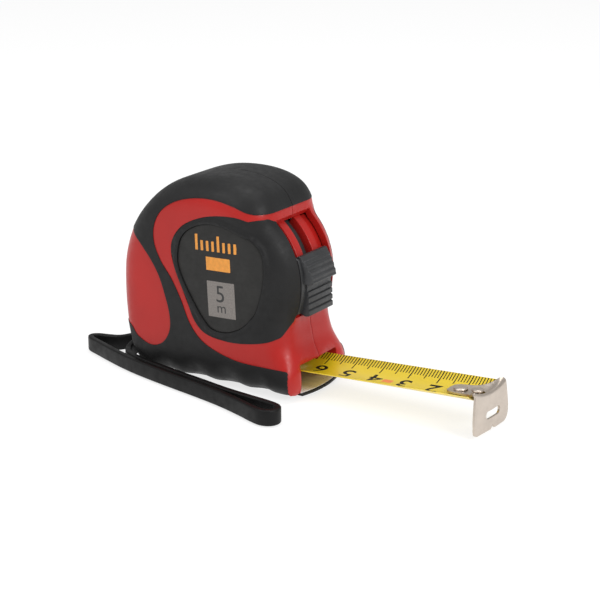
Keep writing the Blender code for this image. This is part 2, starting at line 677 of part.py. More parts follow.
def make_brake_arm(name, shiny):
    """The springy strip behind the slot that the slider runs over, with its foot above the blade."""
    outer, inner, low, high = RAIL_BACK_RADIUS - FIT_GAP, RAIL_BACK_RADIUS - 1.3, -33.0, 55.0
    outline = arc(outer, high, low, 12) + [(-8.3, 7.5), (-9.3, 7.5)] + arc(inner, low, high, 12)
    piece = prism(name, outline, -4.2, 4.2)
    piece.data.materials.append(shiny)
    return piece


def make_reel(name, shiny):
    """The reel's drum with its left-hand flange, one turned piece."""
    bore = SPINDLE_RADIUS + FIT_GAP
    inside, face = COIL_HALF_WIDTH + 0.4, COIL_HALF_WIDTH + 0.4 + FLANGE_THICKNESS
    profile = ((bore, -face), (FLANGE_RADIUS, -face), (FLANGE_RADIUS, -inside), (HUB_RADIUS, -inside),
               (HUB_RADIUS, inside - FIT_GAP), (HUB_RADIUS - HUB_WALL, inside - FIT_GAP),
               (HUB_RADIUS - HUB_WALL, 1.0 - inside), (bore, 1.0 - inside))
    return turned(name, profile, REEL_CENTRE, 40, shiny)


def make_reel_cover(name, shiny):
    bore = SPINDLE_RADIUS + FIT_GAP
    inside, face = COIL_HALF_WIDTH + 0.4, COIL_HALF_WIDTH + 0.4 + FLANGE_THICKNESS
    profile = ((bore, inside), (FLANGE_RADIUS, inside), (FLANGE_RADIUS, face), (bore, face))
    return turned(name, profile, REEL_CENTRE, 40, shiny)


def make_coil(name, shiny):
    low, high = HUB_RADIUS + FIT_GAP, COIL_RADIUS
    profile = ((low, -COIL_HALF_WIDTH), (high, -COIL_HALF_WIDTH), (high, COIL_HALF_WIDTH),
               (low, COIL_HALF_WIDTH))
    return turned(name, profile, REEL_CENTRE, 48, shiny)


def make_spring(name, shiny):
    """The spiral spring that winds the blade back in."""
    first, last, thickness = SPINDLE_RADIUS + 0.9, HUB_RADIUS - HUB_WALL - 0.8, 0.5
    steps = 16 * SPRING_TURNS
    inner, outer = [], []
    for n in range(steps + 1):
        radius = first + (last - first) * n / steps
        inner.append(polar(radius - thickness / 2, 360.0 * SPRING_TURNS * n / steps, REEL_CENTRE))
        outer.append(polar(radius + thickness / 2, 360.0 * SPRING_TURNS * n / steps, REEL_CENTRE))
    piece = prism(name, inner + outer[::-1], -8.2, 8.2)
    piece.data.materials.append(shiny)
    return piece


def make_spindle(name, shiny):
    half_length = RECESS_HALF_WIDTH - FIT_GAP
    piece = disc(name, REEL_CENTRE, SPINDLE_RADIUS, -half_length, half_length, 24)
    piece.data.materials.append(shiny)
    return piece


def make_screw(name, x, z, head_y, tip_y, shiny):
    """A pan-headed screw across the case, with its head on the right."""
    profile = ((0.0, tip_y), (1.2, tip_y), (1.2, head_y), (2.3, head_y), (2.3, head_y + 1.0),
               (1.6, head_y + 1.5), (0.0, head_y + 1.5))
    sides = 12
    points, faces, rings = [], [], []
    for radius, y in profile:
        if radius == 0.0:
            rings.append([len(points)] * sides)
            points.append((x, y, z))
        else:
            rings.append(list(range(len(points), len(points) + sides)))
            for n in range(sides):
                px, pz = polar(radius, 360.0 * n / sides, (x, z))
                points.append((px, y, pz))
    for first, second in zip(rings, rings[1:]):
        for n in range(sides):
            after = (n + 1) % sides
            faces.append(tuple(dict.fromkeys((first[n], first[after], second[after], second[n]))))
    return add_object(name, points, faces, shiny)


def make_clip(name, shiny):
    """The belt clip: a steel strip screwed flat to the right side, then sprung clear of it."""
    inner = [(HALF_WIDTH + FIT_GAP + away, z) for away, z in CLIP_BENDS]
    outer = []
    for n, (y, z) in enumerate(inner):
        before, after = inner[max(n - 1, 0)], inner[min(n + 1, len(inner) - 1)]
        along = Vector((after[0] - before[0], after[1] - before[1])).normalized()
        outer.append((y - along.y * CLIP_THICKNESS, z + along.x * CLIP_THICKNESS))
    piece = extrude_x(name, inner + outer[::-1], CLIP_X - CLIP_HALF_WIDTH, CLIP_X + CLIP_HALF_WIDTH, shiny)
    boolean(piece, "DIFFERENCE", disc(f"{name}_cut_screw", (CLIP_X, CLIP_SCREW_Z), 1.5, 10.0, 30.0, 12))
    return piece


def make_strap(name, shiny):
    """The wrist strap, a flat band on edge along its route."""
    route = spline(STRAP_ROUTE, 3.0)
    points, faces = [], []
    for n, (x, y, z) in enumerate(route):
        before, after = route[max(n - 1, 0)], route[min(n + 1, len(route) - 1)]
        along = Vector((after[0] - before[0], after[1] - before[1])).normalized()
        side_x, side_y = -along.y * STRAP_THICKNESS / 2, along.x * STRAP_THICKNESS / 2
        low, high = z - STRAP_HEIGHT / 2, z + STRAP_HEIGHT / 2
        points += [(x + side_x, y + side_y, low), (x + side_x, y + side_y, high),
                   (x - side_x, y - side_y, high), (x - side_x, y - side_y, low)]
    for k in range(len(route) - 1):
        for n in range(4):
            after = (n + 1) % 4
            faces.append((4 * k + n, 4 * k + after, 4 * k + 4 + after, 4 * k + 4 + n))
    faces += [(0, 1, 2, 3), tuple(range(len(points) - 1, len(points) - 5, -1))]
    piece = add_object(name, points, faces, shiny)
    smooth(piece)
    return piece


def empty(name, x, z, parent=None):
    """An empty at a point of the case frame, on the seam plane."""
    made = bpy.data.objects.new(name, None)
    bpy.context.scene.collection.objects.link(made)
    made.location = Vector((x, 0.0, z)) * MM
    made.parent = parent
    return made


def carry(pivot, pieces):
    """Parents pieces to a pivot without moving them against the case frame."""
    for piece in pieces:
        piece.parent = pivot
        piece.matrix_parent_inverse = Matrix.Translation(-pivot.location)


def build():
    clear_scene()
    red = material("red_abs", (0.62, 0.02, 0.02), 0.38)
    rubber = material("black_rubber", (0.03, 0.03, 0.032), 0.62)
    label = material("label", (0.05, 0.05, 0.05), 0.45)
    black = material("black_abs", (0.04, 0.042, 0.045), 0.45)
    yellow = material("blade_yellow", (0.83, 0.62, 0.03), 0.35)
    nickel = material("nickel", (0.72, 0.69, 0.66), 0.3, 1.0)
    steel = material("steel", (0.5, 0.5, 0.52), 0.35, 1.0)
    plate = material("mouth_plate", (0.55, 0.5, 0.44), 0.5)
    white = material("white_abs", (0.75, 0.75, 0.72), 0.5)
    band = material("strap_vinyl", (0.025, 0.025, 0.027), 0.42)

    for word, side in (("left", -1), ("right", 1)):
        make_case_half(f"case_{word}", side, red)
        make_grip(f"grip_{word}", side, rubber)
        make_panel(f"panel_{word}", side, rubber)
    make_label("label_plate", label)
    make_mouth_plate("mouth_plate", plate)
    make_spindle("spindle", steel)
    make_inner_run("blade_inner_run", yellow)
    make_brake_arm("brake_arm", black)
    for number, (x, z) in enumerate(SCREWS, 1):
        make_screw(f"case_screw_{number}", x, z, SCREW_HEAD_Y, -11.0, steel)
    make_clip("belt_clip", nickel)
    make_screw("clip_screw", CLIP_X, CLIP_SCREW_Z, HALF_WIDTH + 2 * FIT_GAP + CLIP_THICKNESS,
               CLIP_SCREW_DEPTH + FIT_GAP, steel)
    upright_disc("strap_pin", *STRAP_PIN, 0.8, 2.8, 8.7, 12, steel)

    reel = [make_reel("reel", white), make_reel_cover("reel_cover", white),
            make_coil("blade_coil", yellow), make_spring("power_spring", steel)]
    lock = [make_lock("thumb_lock", black)]
    blade = [make_blade("blade", yellow)]
    blade += [make_rivet(f"hook_rivet_{number}", x, nickel) for number, x in enumerate(RIVET_X, 1)]
    hook = [make_hook("hook", nickel)]
    strap = make_strap("wrist_strap", band)

    loose = [o for o in bpy.data.objects if o is not strap]
    frame = empty("case_frame", 0.0, 0.0)
    carry(frame, loose)
    for name, (x, z), pieces in (("reel_pivot", REEL_CENTRE, reel), ("lock_pivot", LOCK_AXIS, lock),
                                 ("blade_slide", (BLADE_BACK, BLADE_TROUGH), blade + hook)):
        carry(empty(name, x, z, frame), pieces)
    frame.rotation_euler = (0.0, -LEAN, 0.0)
    frame.location = Vector((*ORIGIN_SHIFT, -SOLE_REAR * math.sin(LEAN))) * MM
    strap.location = Vector((*ORIGIN_SHIFT, 0.0)) * MM
    bpy.context.view_layer.update()


build()
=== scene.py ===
"""Looks of the pocket tape measure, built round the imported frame.

Lengths are in millimetres in the case frame until a mesh is made: +X along the drawn blade,
x = 0 at the mouth, y = 0 on the seam, z = 0 on the sole. PLACE carries them into the row frame.
The case is drawn on a flat map of each half: the side is mapped as it is, and the rounded edge
and the band between it and the seam are laid out flat round it. Every border is a line on that
map, and the map is triangulated once along all the borders, so neighbouring pieces fit exactly.
"""

import json
import math

import bmesh
import bpy
import numpy as np
from mathutils import Matrix, Vector
from mathutils.geometry import delaunay_2d_cdt


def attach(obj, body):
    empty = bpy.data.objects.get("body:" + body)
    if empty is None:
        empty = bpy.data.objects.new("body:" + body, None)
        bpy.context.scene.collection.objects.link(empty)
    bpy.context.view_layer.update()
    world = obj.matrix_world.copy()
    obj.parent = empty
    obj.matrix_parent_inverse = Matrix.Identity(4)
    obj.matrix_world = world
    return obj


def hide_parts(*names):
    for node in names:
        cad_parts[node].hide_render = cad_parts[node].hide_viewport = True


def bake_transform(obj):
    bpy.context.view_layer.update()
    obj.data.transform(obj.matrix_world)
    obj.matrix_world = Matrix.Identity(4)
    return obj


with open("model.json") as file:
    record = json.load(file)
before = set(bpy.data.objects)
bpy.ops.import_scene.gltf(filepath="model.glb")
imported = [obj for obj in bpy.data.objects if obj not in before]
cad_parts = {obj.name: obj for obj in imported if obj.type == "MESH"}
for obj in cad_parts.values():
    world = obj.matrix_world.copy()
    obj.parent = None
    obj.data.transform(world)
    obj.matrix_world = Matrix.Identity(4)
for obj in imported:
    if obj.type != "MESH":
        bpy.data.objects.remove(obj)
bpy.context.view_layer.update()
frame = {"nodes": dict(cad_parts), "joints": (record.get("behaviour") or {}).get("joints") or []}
JOINTS = {joint["name"]: joint for joint in frame["joints"]}
MM = 0.001

# The case.
HALF_WIDTH = 18.0
SEAM_GAP = 0.1
SOLE_REAR = -56.0
SOLE_DROP = 1.7
CASE_CENTRE = np.array((-32.0, 33.0))
NOSE_TAPER_START = -22.0
NOSE_WIDTHS = ((0.0, 0.92), (4.5, 0.94), (8.5, 0.87), (11.5, 0.82), (14.0, 0.805), (20.0, 0.82),
               (28.0, 0.85), (40.0, 0.91), (52.0, 0.97))
FOOT_TAPER_TOP = 12.0
FOOT_WIDTH_SHARE = 0.92
LOCK_AXIS = (-25.7, 33.5)
FRONT_RADIUS = 25.7
SLOT_ARC = (-25.2, 48.5)
SLOT_HALF_WIDTH = 9.2
RAIL_EDGE = 6.0
RAIL_RADIUS = 23.9
SLIT_HALF_WIDTH = 2.6
REEL_CENTRE = (-33.0, 34.0)
MOUTH_HALF_WIDTH = 10.2
MOUTH_TOP = 8.9
SILL_TOP = -0.9
JAW_BACK = -1.3
SILL_BACK = -3.2
LIP_REAR = -12.0
PLATE_REAR = -17.0

# The blade and its hook.
BLADE_WIDTH = 19.0
MOUTH_SAG = 2.15         # the strip's trough deepens from the mouth to its free end
END_SAG = 3.1
BLADE_THICKNESS = 0.25
BLADE_TROUGH = 4.2
BLADE_BACK = -0.8
BLADE_END = 57.0
BLADE_IN_CASE = -29.0
BLADE_RISE = 6.6         # how far the strip climbs inside the case, and over which run
BLADE_RISE_RUN = (3.1, 35.1)
TICKS = ((10, 5.8, 0.4), (5, 4.6, 0.36), (1, 3.3, 0.34))
SCALE_ZERO = 58.98
HOOK_FACE = 59.4
HOOK_THICKNESS = 0.7
HOOK_HALF_WIDTH = 10.7
HOOK_BOTTOM = -5.2
HOOK_ROLL = 0.05          # rise of the bend towards the left side, per millimetre across
TONGUE_BACK = 45.3
NOTCH_Y = 0.9
SLOT_Z = -1.05
RIVET_X = (49.2, 54.9)
HOOK_BEND = 1.5
HOOK_HOLE = 1.85
HOOK_FLOAT = 0.4          # half of the hook's float: the rivets stand this far back in its holes
RIVET_HOLE = 1.2
NAIL_SLOT = (8.6, 2.1)
HOOK_SPREAD = (56.6, 59.4)


def sole_height(x):
    return -SOLE_DROP * (x - SOLE_REAR) / -SOLE_REAR


NOSE_OUTLINE = (
    (-42.0, sole_height(-42.0), 4.0, 4.0),
    (-22.0, sole_height(-22.0), 4.0, 4.0),
    (-8.0, sole_height(-8.0), 4.2, 4.6),
    (-1.2, sole_height(-1.2), 2.8, 3.8),
    (-0.1, -0.4, 2.2, 3.0),
    (0.0, 4.6, 1.8, 2.2),
    (0.0, 6.8, 3.4, 3.8),
    (-0.1, 8.6, 5.6, 5.6),
    (-0.4, 9.9, 8.0, 6.4),
    (-1.2, 10.7, 9.5, 6.4),
    (-2.15, 11.5, 10.5, 6.4),
    (-2.5, 12.8, 12.0, 6.5),
    (-2.6, 16.0, 13.0, 6.6),
)
CROWN_OUTLINE = (
    (-7.8, 54.2, 11.0, 9.0),
    (-9.1, 57.2, 10.0, 9.0),
    (-10.9, 60.0, 9.5, 9.0),
    (-14.4, 62.3, 9.0, 9.0),
    (-20.0, 64.1, 8.5, 9.0),
    (-28.0, 64.9, 8.0, 9.0),
    (-37.0, 64.3, 8.0, 9.0),
    (-46.0, 61.5, 8.0, 9.0),
    (-54.0, 56.0, 8.0, 9.2),
    (-60.7, 48.2, 8.0, 9.5),
    (-64.9, 38.0, 8.0, 9.5),
    (-66.1, 27.0, 8.0, 9.5),
    (-65.3, 16.0, 7.0, 8.5),
    (-63.0, 7.0, 5.5, 6.5),
    (-60.4, 2.2, 4.5, 5.0),
    (SOLE_REAR, 0.0, 4.0, 4.0),
)
SWOOSH_OUTER = (
    (12.0, 55.3), (-8.0, 55.4), (-13.0, 56.0), (-18.5, 58.0), (-25.5, 59.4), (-33.0, 59.2),
    (-40.0, 57.4), (-45.4, 54.0), (-48.3, 49.0), (-48.6, 43.5), (-46.4, 38.0), (-42.6, 32.6),
    (-39.4, 26.3), (-36.6, 19.3), (-32.6, 14.3), (-26.8, 11.2), (-18.8, 9.0), (-9.8, 8.2),
    (-1.7, 7.7),
)
LEAF = (
    (-76.0, 16.5), (-62.0, 15.6), (-57.5, 11.8), (-52.5, 9.6), (-47.8, 11.0), (-44.7, 15.2),
    (-44.2, 20.5), (-45.6, 27.0), (-48.0, 34.0), (-52.5, 40.8), (-58.0, 46.0), (-76.0, 58.0),
)
PANEL_BACK = (
    (-13.0, 53.6), (-17.6, 54.7), (-25.5, 54.4), (-32.0, 52.8), (-37.6, 50.0), (-41.2, 45.8),
    (-42.2, 41.2), (-41.2, 36.4), (-39.2, 31.2), (-36.9, 25.4), (-34.3, 19.8), (-30.9, 16.6),
    (-25.8, 15.2), (-17.8, 14.9), (-9.4, 15.9), (-5.2, 17.4),
)
LABEL = (
    (-39.6, 42.0), (-37.6, 47.0), (-32.8, 50.4), (-25.6, 51.8), (-17.0, 49.8), (-10.6, 45.2),
    (-8.9, 38.6), (-10.6, 29.2), (-15.0, 21.4), (-21.4, 17.9), (-27.6, 18.0), (-31.6, 21.6),
    (-36.6, 29.6), (-39.6, 36.6),
)
# The strap's middle line, in the row's axes, from the point under the mouth's middle.
STRAP_ROUTE = (
    (-60.1, 0.2, 5.7), (-63.8, -0.2, 5.6), (-67.4, -2.2, 4.9), (-71.0, -4.8, 3.8),
    (-75.0, -6.8, 2.8), (-79.0, -8.0, 2.6), (-82.3, -9.0, 2.6), (-83.8, -10.7, 2.6),
    (-82.4, -12.5, 2.6), (-78.0, -14.2, 2.6), (-71.0, -16.8, 2.6), (-64.0, -19.2, 2.6),
    (-57.0, -21.2, 2.6), (-48.0, -23.2, 2.6), (-38.0, -25.1, 2.6), (-27.0, -27.1, 2.6),
    (-17.0, -29.3, 2.6), (-8.0, -32.0, 2.6), (-2.6, -33.9, 2.6), (1.2, -34.7, 2.6),
    (3.9, -33.6, 2.6), (4.6, -31.2, 2.6), (3.0, -29.0, 2.6), (-1.0, -28.0, 2.6),
    (-9.0, -27.3, 2.6), (-18.0, -26.3, 2.6), (-27.0, -24.7, 2.6), (-38.0, -22.8, 2.6),
    (-48.0, -20.9, 2.6), (-57.0, -18.9, 2.6), (-62.6, -16.8, 2.6), (-66.0, -13.4, 2.8),
    (-66.6, -9.4, 3.8), (-65.2, -6.2, 5.0), (-62.9, -4.4, 5.6), (-60.1, -4.0, 5.7),
)
# The belt clip, on the right-hand side: y and z along the middle of its sheet.
CLIP_PATH = (
    (18.85, 54.3), (18.85, 50.0), (18.9, 46.6), (20.2, 44.4), (22.6, 42.6), (23.9, 40.0), (24.1, 36.0),
    (24.0, 24.5), (22.6, 19.8), (21.4, 17.2), (21.1, 15.0), (21.7, 13.0), (23.0, 11.4),
)
CLIP_X = -33.0
CLIP_HALF_WIDTH = 7.0
CLIP_THICKNESS = 1.0
CLIP_CORNER = 3.0
CLIP_SCREW = (-33.0, 50.0)
CLIP_SCREW_Y = 19.4
SCREWS = ((-57.0, 11.5), (-16.5, 12.6), (-21.0, 58.5), (-50.0, 55.0))
SCREW_HEAD_Y = 13.2
SCREW_HOLE = 2.7
CLIP_SCREW_HOLE = 1.5
STRAP_HEIGHT = 5.0
STRAP_THICKNESS = 2.0

# The case's mesh. Each region has the width of its rounded edge, then its looks by ink.
MAP_SPAN = ((-100.0, -40.0), (40.0, 105.0))
MAP_SPACING = 0.8
ON_LINE = 0.02
RIM_MARGIN = 2.0
SOFTEN_ROUNDS = 24
SKIRT = 1.3
REGIONS = {
    "grip": (0.34, "rubber"),
    "panel": (0.3, "rubber"),
    "label": (0.25, "label", "orange", "grey", "ink"),
    "shell": (0.22, "red"),
}

# The view, the floor and the light. Lights are name, place, size and power.
CAMERA_PLACE = (265.8, -414.1, 187.9)
CAMERA_DEGREES = (33.47, 18.14)
LENS = 101.2
SENSOR = 36.0
WORLD_STRENGTH = 0.5
FLOOR_GLOW = 0.76
FLOOR_GREY = 0.3
LIGHT_TARGET = Vector((0.0, 0.0, 0.03))
LIGHTS = (
    ("key", (-0.35, -0.6, 0.7), 0.45, 2.4),
    ("top", (0.0, 0.1, 0.9), 0.6, 3.0),
    ("front", (0.75, -0.2, 0.5), 0.3, 3.2),
)

# How the case frame lies in the row frame: the blade's slide gives the lean, the reel the place.
SLIDE = Vector(JOINTS["blade_slide"]["axis"])
LEAN = math.atan2(SLIDE.z, SLIDE.x)
TURN = Matrix.Rotation(-LEAN, 4, "Y")
REEL_POINT = Vector(JOINTS["reel_spin"]["pos_m"])
ORIGIN = REEL_POINT - TURN @ (Vector((REEL_CENTRE[0], 0.0, REEL_CENTRE[1])) * MM)
PLACE = Matrix.Translation(ORIGIN) @ TURN @ Matrix.Scale(MM, 4)


# ---------------------------------------------------------------- camera, floor and light

def set_camera():
    """Looks at the tool from its left front, a little from above."""
    azimuth, elevation = (math.radians(degrees) for degrees in CAMERA_DEGREES)
    ahead = Vector((-math.sin(azimuth) * math.cos(elevation), math.cos(azimuth) * math.cos(elevation),
                    -math.sin(elevation)))
    data = bpy.data.cameras.new("camera")
    data.lens = LENS
    data.sensor_width = SENSOR
    camera = put_object("camera", data)
    camera.location = ORIGIN + Vector(CAMERA_PLACE) * MM
    camera.rotation_euler = ahead.to_track_quat("-Z", "Y").to_euler()
    bpy.context.scene.camera = camera


def put_object(name, data):
    made = bpy.data.objects.new(name, data)
    bpy.context.scene.collection.objects.link(made)
    return made


def add_light(name, place, size, power):
    data = bpy.data.lights.new(name, "AREA")
    data.shape = "DISK"
    data.size = size
    data.energy = power
    light = put_object(name, data)
    light.location = place
    light.rotation_euler = (LIGHT_TARGET - Vector(place)).to_track_quat("-Z", "Y").to_euler()


def set_stage():
    """A pale floor, a white surround and soft lights."""
    bpy.ops.mesh.primitive_plane_add(size=6.0, location=(0.0, 0.0, -0.0003))
    floor = bpy.context.object
    floor.name = "floor"
    surface = Shader("floor_white", (FLOOR_GREY,) * 3, 0.9).set(SHINE, 0.0)
    surface.set("Emission Color", (1.0, 1.0, 1.0, 1.0)).set("Emission Strength", FLOOR_GLOW)
    floor.data.materials.append(surface.made)
    world = bpy.data.worlds.new("surround")
    bpy.context.scene.world = world
    world.use_nodes = True
    backdrop = world.node_tree.nodes["Background"].inputs
    backdrop["Color"].default_value = (1.0, 1.0, 1.0, 1.0)
    backdrop["Strength"].default_value = WORLD_STRENGTH
    bpy.context.scene.view_settings.view_transform = "Standard"
    for light in LIGHTS:
        add_light(*light)


# ---------------------------------------------------------------- materials

SHINE = "Specular IOR Level"


class Shader:
    """A Principled material built up with layers of noise: the last numbers of a layer are its own."""

    def __init__(self, name, colour, roughness, metallic=0.0):
        self.made = bpy.data.materials.new(name)
        self.made.use_nodes = True
        self.tree = self.made.node_tree
        self.principled = self.tree.nodes["Principled BSDF"]
        self.colour = colour
        self.roughness = roughness
        self.set("Base Color", (*colour, 1.0))
        self.set("Roughness", roughness)
        self.set("Metallic", metallic)
        self.place = self.node("ShaderNodeTexCoord").outputs["Object"]
        self.last_bump = None

    def node(self, kind, **values):
        made = self.tree.nodes.new(kind)
        for socket, value in values.items():
            made.inputs[socket.replace("_", " ")].default_value = value
        return made

    def set(self, socket, value):
        self.principled.inputs[socket].default_value = value
        return self

    def link(self, out, into):
        self.tree.links.new(out, into)

    def noise(self, scale, detail=3.0, stretch=(1.0, 1.0, 1.0)):
        mapping = self.node("ShaderNodeMapping", Scale=stretch)
        self.link(self.place, mapping.inputs["Vector"])
        texture = self.node("ShaderNodeTexNoise", Scale=scale, Detail=detail)
        self.link(mapping.outputs["Vector"], texture.inputs["Vector"])
        return texture.outputs["Fac"]

    def ramp(self, source, low, high, start, end):
        """Turns a value between start and end into one between low and high."""
        node = self.node("ShaderNodeMapRange", From_Min=start, From_Max=end, To_Min=low, To_Max=high)
        self.link(source, node.inputs["Value"])
        return node.outputs["Result"]

    def tint(self, darker, lighter, *grain):
        """Colour between two shares of the base colour."""
        source = self.noise(*grain)
        mix = self.tree.nodes.new("ShaderNodeMix")
        mix.data_type = "RGBA"
        mix.inputs["A"].default_value = (*(c * darker for c in self.colour), 1.0)
        mix.inputs["B"].default_value = (*(min(c * lighter, 1.0) for c in self.colour), 1.0)
        self.link(self.ramp(source, 0.0, 1.0, 0.35, 0.65), mix.inputs["Factor"])
        self.link(mix.outputs["Result"], self.principled.inputs["Base Color"])
        return self

    def gloss(self, spread, *grain):
        """Roughness that wanders either side of its own value."""
        low, high = max(self.roughness - spread, 0.02), self.roughness + spread
        self.link(self.ramp(self.noise(*grain), low, high, 0.3, 0.7), self.principled.inputs["Roughness"])
        return self

    def bump(self, height, *grain):
        """Relief of a height in millimetres, on top of the layers before it."""
        source = self.noise(*grain)
        node = self.node("ShaderNodeBump", Strength=1.0, Distance=height * MM)
        self.link(source, node.inputs["Height"])
        if self.last_bump:
            self.link(self.last_bump.outputs["Normal"], node.inputs["Normal"])
        self.link(node.outputs["Normal"], self.principled.inputs["Normal"])
        self.last_bump = node
        return self


def make_materials():
    """Every look of the tool, by a short name."""
    red = Shader("moulded_red", (0.42, 0.0125, 0.0095), 0.36).tint(0.93, 1.05, 60.0)
    red.gloss(0.07, 700.0, 4.0).bump(0.012, 4200.0, 2.0).set("IOR", 1.5).set(SHINE, 0.34)
    rubber = Shader("grip_rubber", (0.011, 0.011, 0.0113), 0.52).tint(0.85, 1.2, 90.0)
    rubber.gloss(0.08, 500.0, 4.0).bump(0.02, 5200.0, 2.0).bump(0.008, 900.0).set(SHINE, 0.26)
    label = Shader("label_black", (0.019, 0.0185, 0.0175), 0.55).set(SHINE, 0.3)
    label.tint(0.85, 1.15, 220.0).gloss(0.07, 900.0).bump(0.01, 6500.0)
    orange = Shader("label_orange", (0.76, 0.3, 0.04), 0.5).tint(0.9, 1.06, 900.0).bump(0.008, 6500.0)
    grey = Shader("label_grey", (0.2, 0.18, 0.165), 0.5).tint(0.86, 1.12, 2600.0, 2.0).bump(0.008, 6500.0)
    ink = Shader("label_ink", (0.022, 0.022, 0.022), 0.5).tint(0.85, 1.2, 900.0)
    lock = Shader("lock_black", (0.022, 0.023, 0.025), 0.46).tint(0.85, 1.2, 150.0)
    lock.gloss(0.07, 800.0).bump(0.016, 4800.0)
    track = Shader("track_black", (0.035, 0.037, 0.038), 0.5).tint(0.85, 1.15, 150.0).bump(0.014, 4800.0)
    yellow = Shader("blade_yellow", (0.72, 0.53, 0.012), 0.34).tint(0.95, 1.04, 120.0, 3.0, (0.3, 1.0, 1.0))
    yellow.gloss(0.05, 1200.0).bump(0.006, 1800.0, 2.0, (0.4, 1.0, 1.0))
    blade_ink = Shader("blade_ink", (0.009, 0.0088, 0.006), 0.45).tint(0.8, 1.4, 1500.0).set(SHINE, 0.15)
    blade_red = Shader("blade_red_ink", (0.8, 0.2, 0.03), 0.35).tint(0.9, 1.1, 1500.0)
    for lacquered in (yellow, blade_red):
        lacquered.set("Coat Weight", 0.35).set("Coat Roughness", 0.16)
    nickel = Shader("satin_nickel", (0.6, 0.525, 0.455), 0.38, 1.0).tint(0.95, 1.04, 160.0)
    nickel.gloss(0.06, 900.0, 5.0).bump(0.003, 2600.0, 3.0).bump(0.006, 260.0)
    steel = Shader("plain_steel", (0.42, 0.42, 0.43), 0.34, 1.0).tint(0.85, 1.1, 300.0)
    steel.gloss(0.1, 900.0).bump(0.006, 2400.0, 3.0, (1.0, 6.0, 1.0))
    # Painted light: the plate's base colour is lighter and bluer than its own, to make up for the shade and
    # the yellow bounce from the blade that it lies in.
    plate = Shader("wear_plate", (0.82, 0.8, 0.84), 0.5).tint(0.9, 1.08, 200.0, 3.0, (0.3, 2.0, 1.0))
    plate.gloss(0.08, 800.0).bump(0.008, 2500.0)
    white = Shader("reel_white", (0.7, 0.7, 0.66), 0.45).tint(0.93, 1.04, 120.0).bump(0.01, 3500.0)
    vinyl = Shader("strap_vinyl", (0.005, 0.0049, 0.005), 0.46).tint(0.8, 1.3, 110.0)
    vinyl.gloss(0.1, 420.0, 4.0).bump(0.014, 3800.0).bump(0.02, 300.0).set(SHINE, 0.2)
    looks = dict(red=red, rubber=rubber, label=label, orange=orange, grey=grey, ink=ink, lock=lock,
                 track=track, yellow=yellow, blade_ink=blade_ink, blade_red=blade_red, nickel=nickel,
                 steel=steel, plate=plate, white=white, vinyl=vinyl)
    return {name: shader.made for name, shader in looks.items()}


# ---------------------------------------------------------------- outlines and curves

def spline(points, step, closed=False):
    """Points about a step apart on a Catmull-Rom curve through the given ones."""
    points = np.asarray(points, float)
    count = len(points)
    made = []
    for n in range(count if closed else count - 1):
        near = [(n + k) % count if closed else min(max(n + k, 0), count - 1) for k in (-1, 0, 1, 2)]
        a, b, c, d = points[near]
        pieces = max(1, round(float(np.linalg.norm(c[:2] - b[:2])) / step))
        for k in range(pieces):
            t = k / pieces
            made.append(0.5 * (2 * b + (c - a) * t + (2 * a - 5 * b + 4 * c - d) * t * t
                               + (3 * b - a - 3 * c + d) * t ** 3))
    if not closed:
        made.append(points[-1])
    return np.array(made)


def polar(radius, degrees, centre=LOCK_AXIS):
    angle = math.radians(degrees)
    return centre[0] + radius * math.cos(angle), centre[1] + radius * math.sin(angle)


def ring(radius, step, centre):
    """A circle of points, a number of degrees apart."""
    return np.array([polar(radius, degrees, centre) for degrees in range(0, 360, step)])


def box(left, low, right, high):
    return np.array([(left, low), (right, low), (right, high), (left, high)])


def resample(points, step, closed=False):
    """The same line with points an even step apart."""
    points = np.asarray(points, float)
    if closed:
        points = np.vstack([points, points[:1]])
    lengths = np.concatenate([[0.0], np.cumsum(np.linalg.norm(np.diff(points, axis=0), axis=1))])
    count = max(2, int(round(lengths[-1] / step)) + 1)
    at = np.linspace(0.0, lengths[-1], count)
    made = np.stack([np.interp(at, lengths, points[:, k]) for k in range(points.shape[1])], axis=1)
    return made[:-1] if closed else made


def loop(points, step):
    """A closed line, as triangulate takes it."""
    return resample(points, step, True), True


def inside(points, polygon):
    """Which of the points lie in a closed polygon."""
    x, y = points[:, 0], points[:, 1]
    found = np.zeros(len(points), bool)
    for (ax, ay), (bx, by) in zip(polygon, np.roll(polygon, -1, axis=0)):
        crosses = (ay > y) != (by > y)
        with np.errstate(divide="ignore", invalid="ignore"):
            at = (bx - ax) * (y - ay) / (by - ay) + ax
        found ^= crosses & (x < at)
    return found


def clear_of(points, holes):
    """Which of the points lie in none of the holes."""
    clear = np.full(len(points), True)
    for hole in holes:
        clear &= ~inside(points, hole)
    return clear


def norms(vectors):
    return np.linalg.norm(vectors, axis=1)


def distance(points, line, closed=False):
    """Distance of each point from a line of points."""
    ends = np.roll(line, -1, axis=0) if closed else line[1:]
    starts = line if closed else line[:-1]
    best = np.full(len(points), 1e9)
    for a, b in zip(starts, ends):
        along = b - a
        share = np.clip(((points - a) @ along) / max(along @ along, 1e-12), 0.0, 1.0)
        best = np.minimum(best, norms(points - (a + share[:, None] * along)))
    return best


def fade(value, start, end):
    """Smooth 0 to 1 as value goes from start to end."""
    t = np.clip((value - start) / (end - start), 0.0, 1.0)
    return t * t * (3.0 - 2.0 * t)


# ---------------------------------------------------------------- the flat map of a case half

def dense_outline():
    """Points round the case in side view, each with the depth and width of its rounded edge."""
    front = []
    for n in range(9):
        degrees = -30.0 + 9.75 * n
        front.append((*polar(FRONT_RADIUS, degrees), 12.5, 9.2 if degrees > -18 else 8.4))
    return spline(NOSE_OUTLINE + tuple(front) + CROWN_OUTLINE, 0.4, closed=True)


def from_centre(points):
    """Offset, distance and angle of points from the case's centre."""
    away = np.asarray(points, float) - CASE_CENTRE
    return away, norms(away), np.arctan2(away[:, 1], away[:, 0])


def outline_by_angle(outline):
    """The outline's angles in rising order, with its radius, depth and width at each."""
    _, reach, angle = from_centre(outline[:, :2])
    order = np.argsort(angle)
    return angle[order], reach[order], outline[order, 2], outline[order, 3]


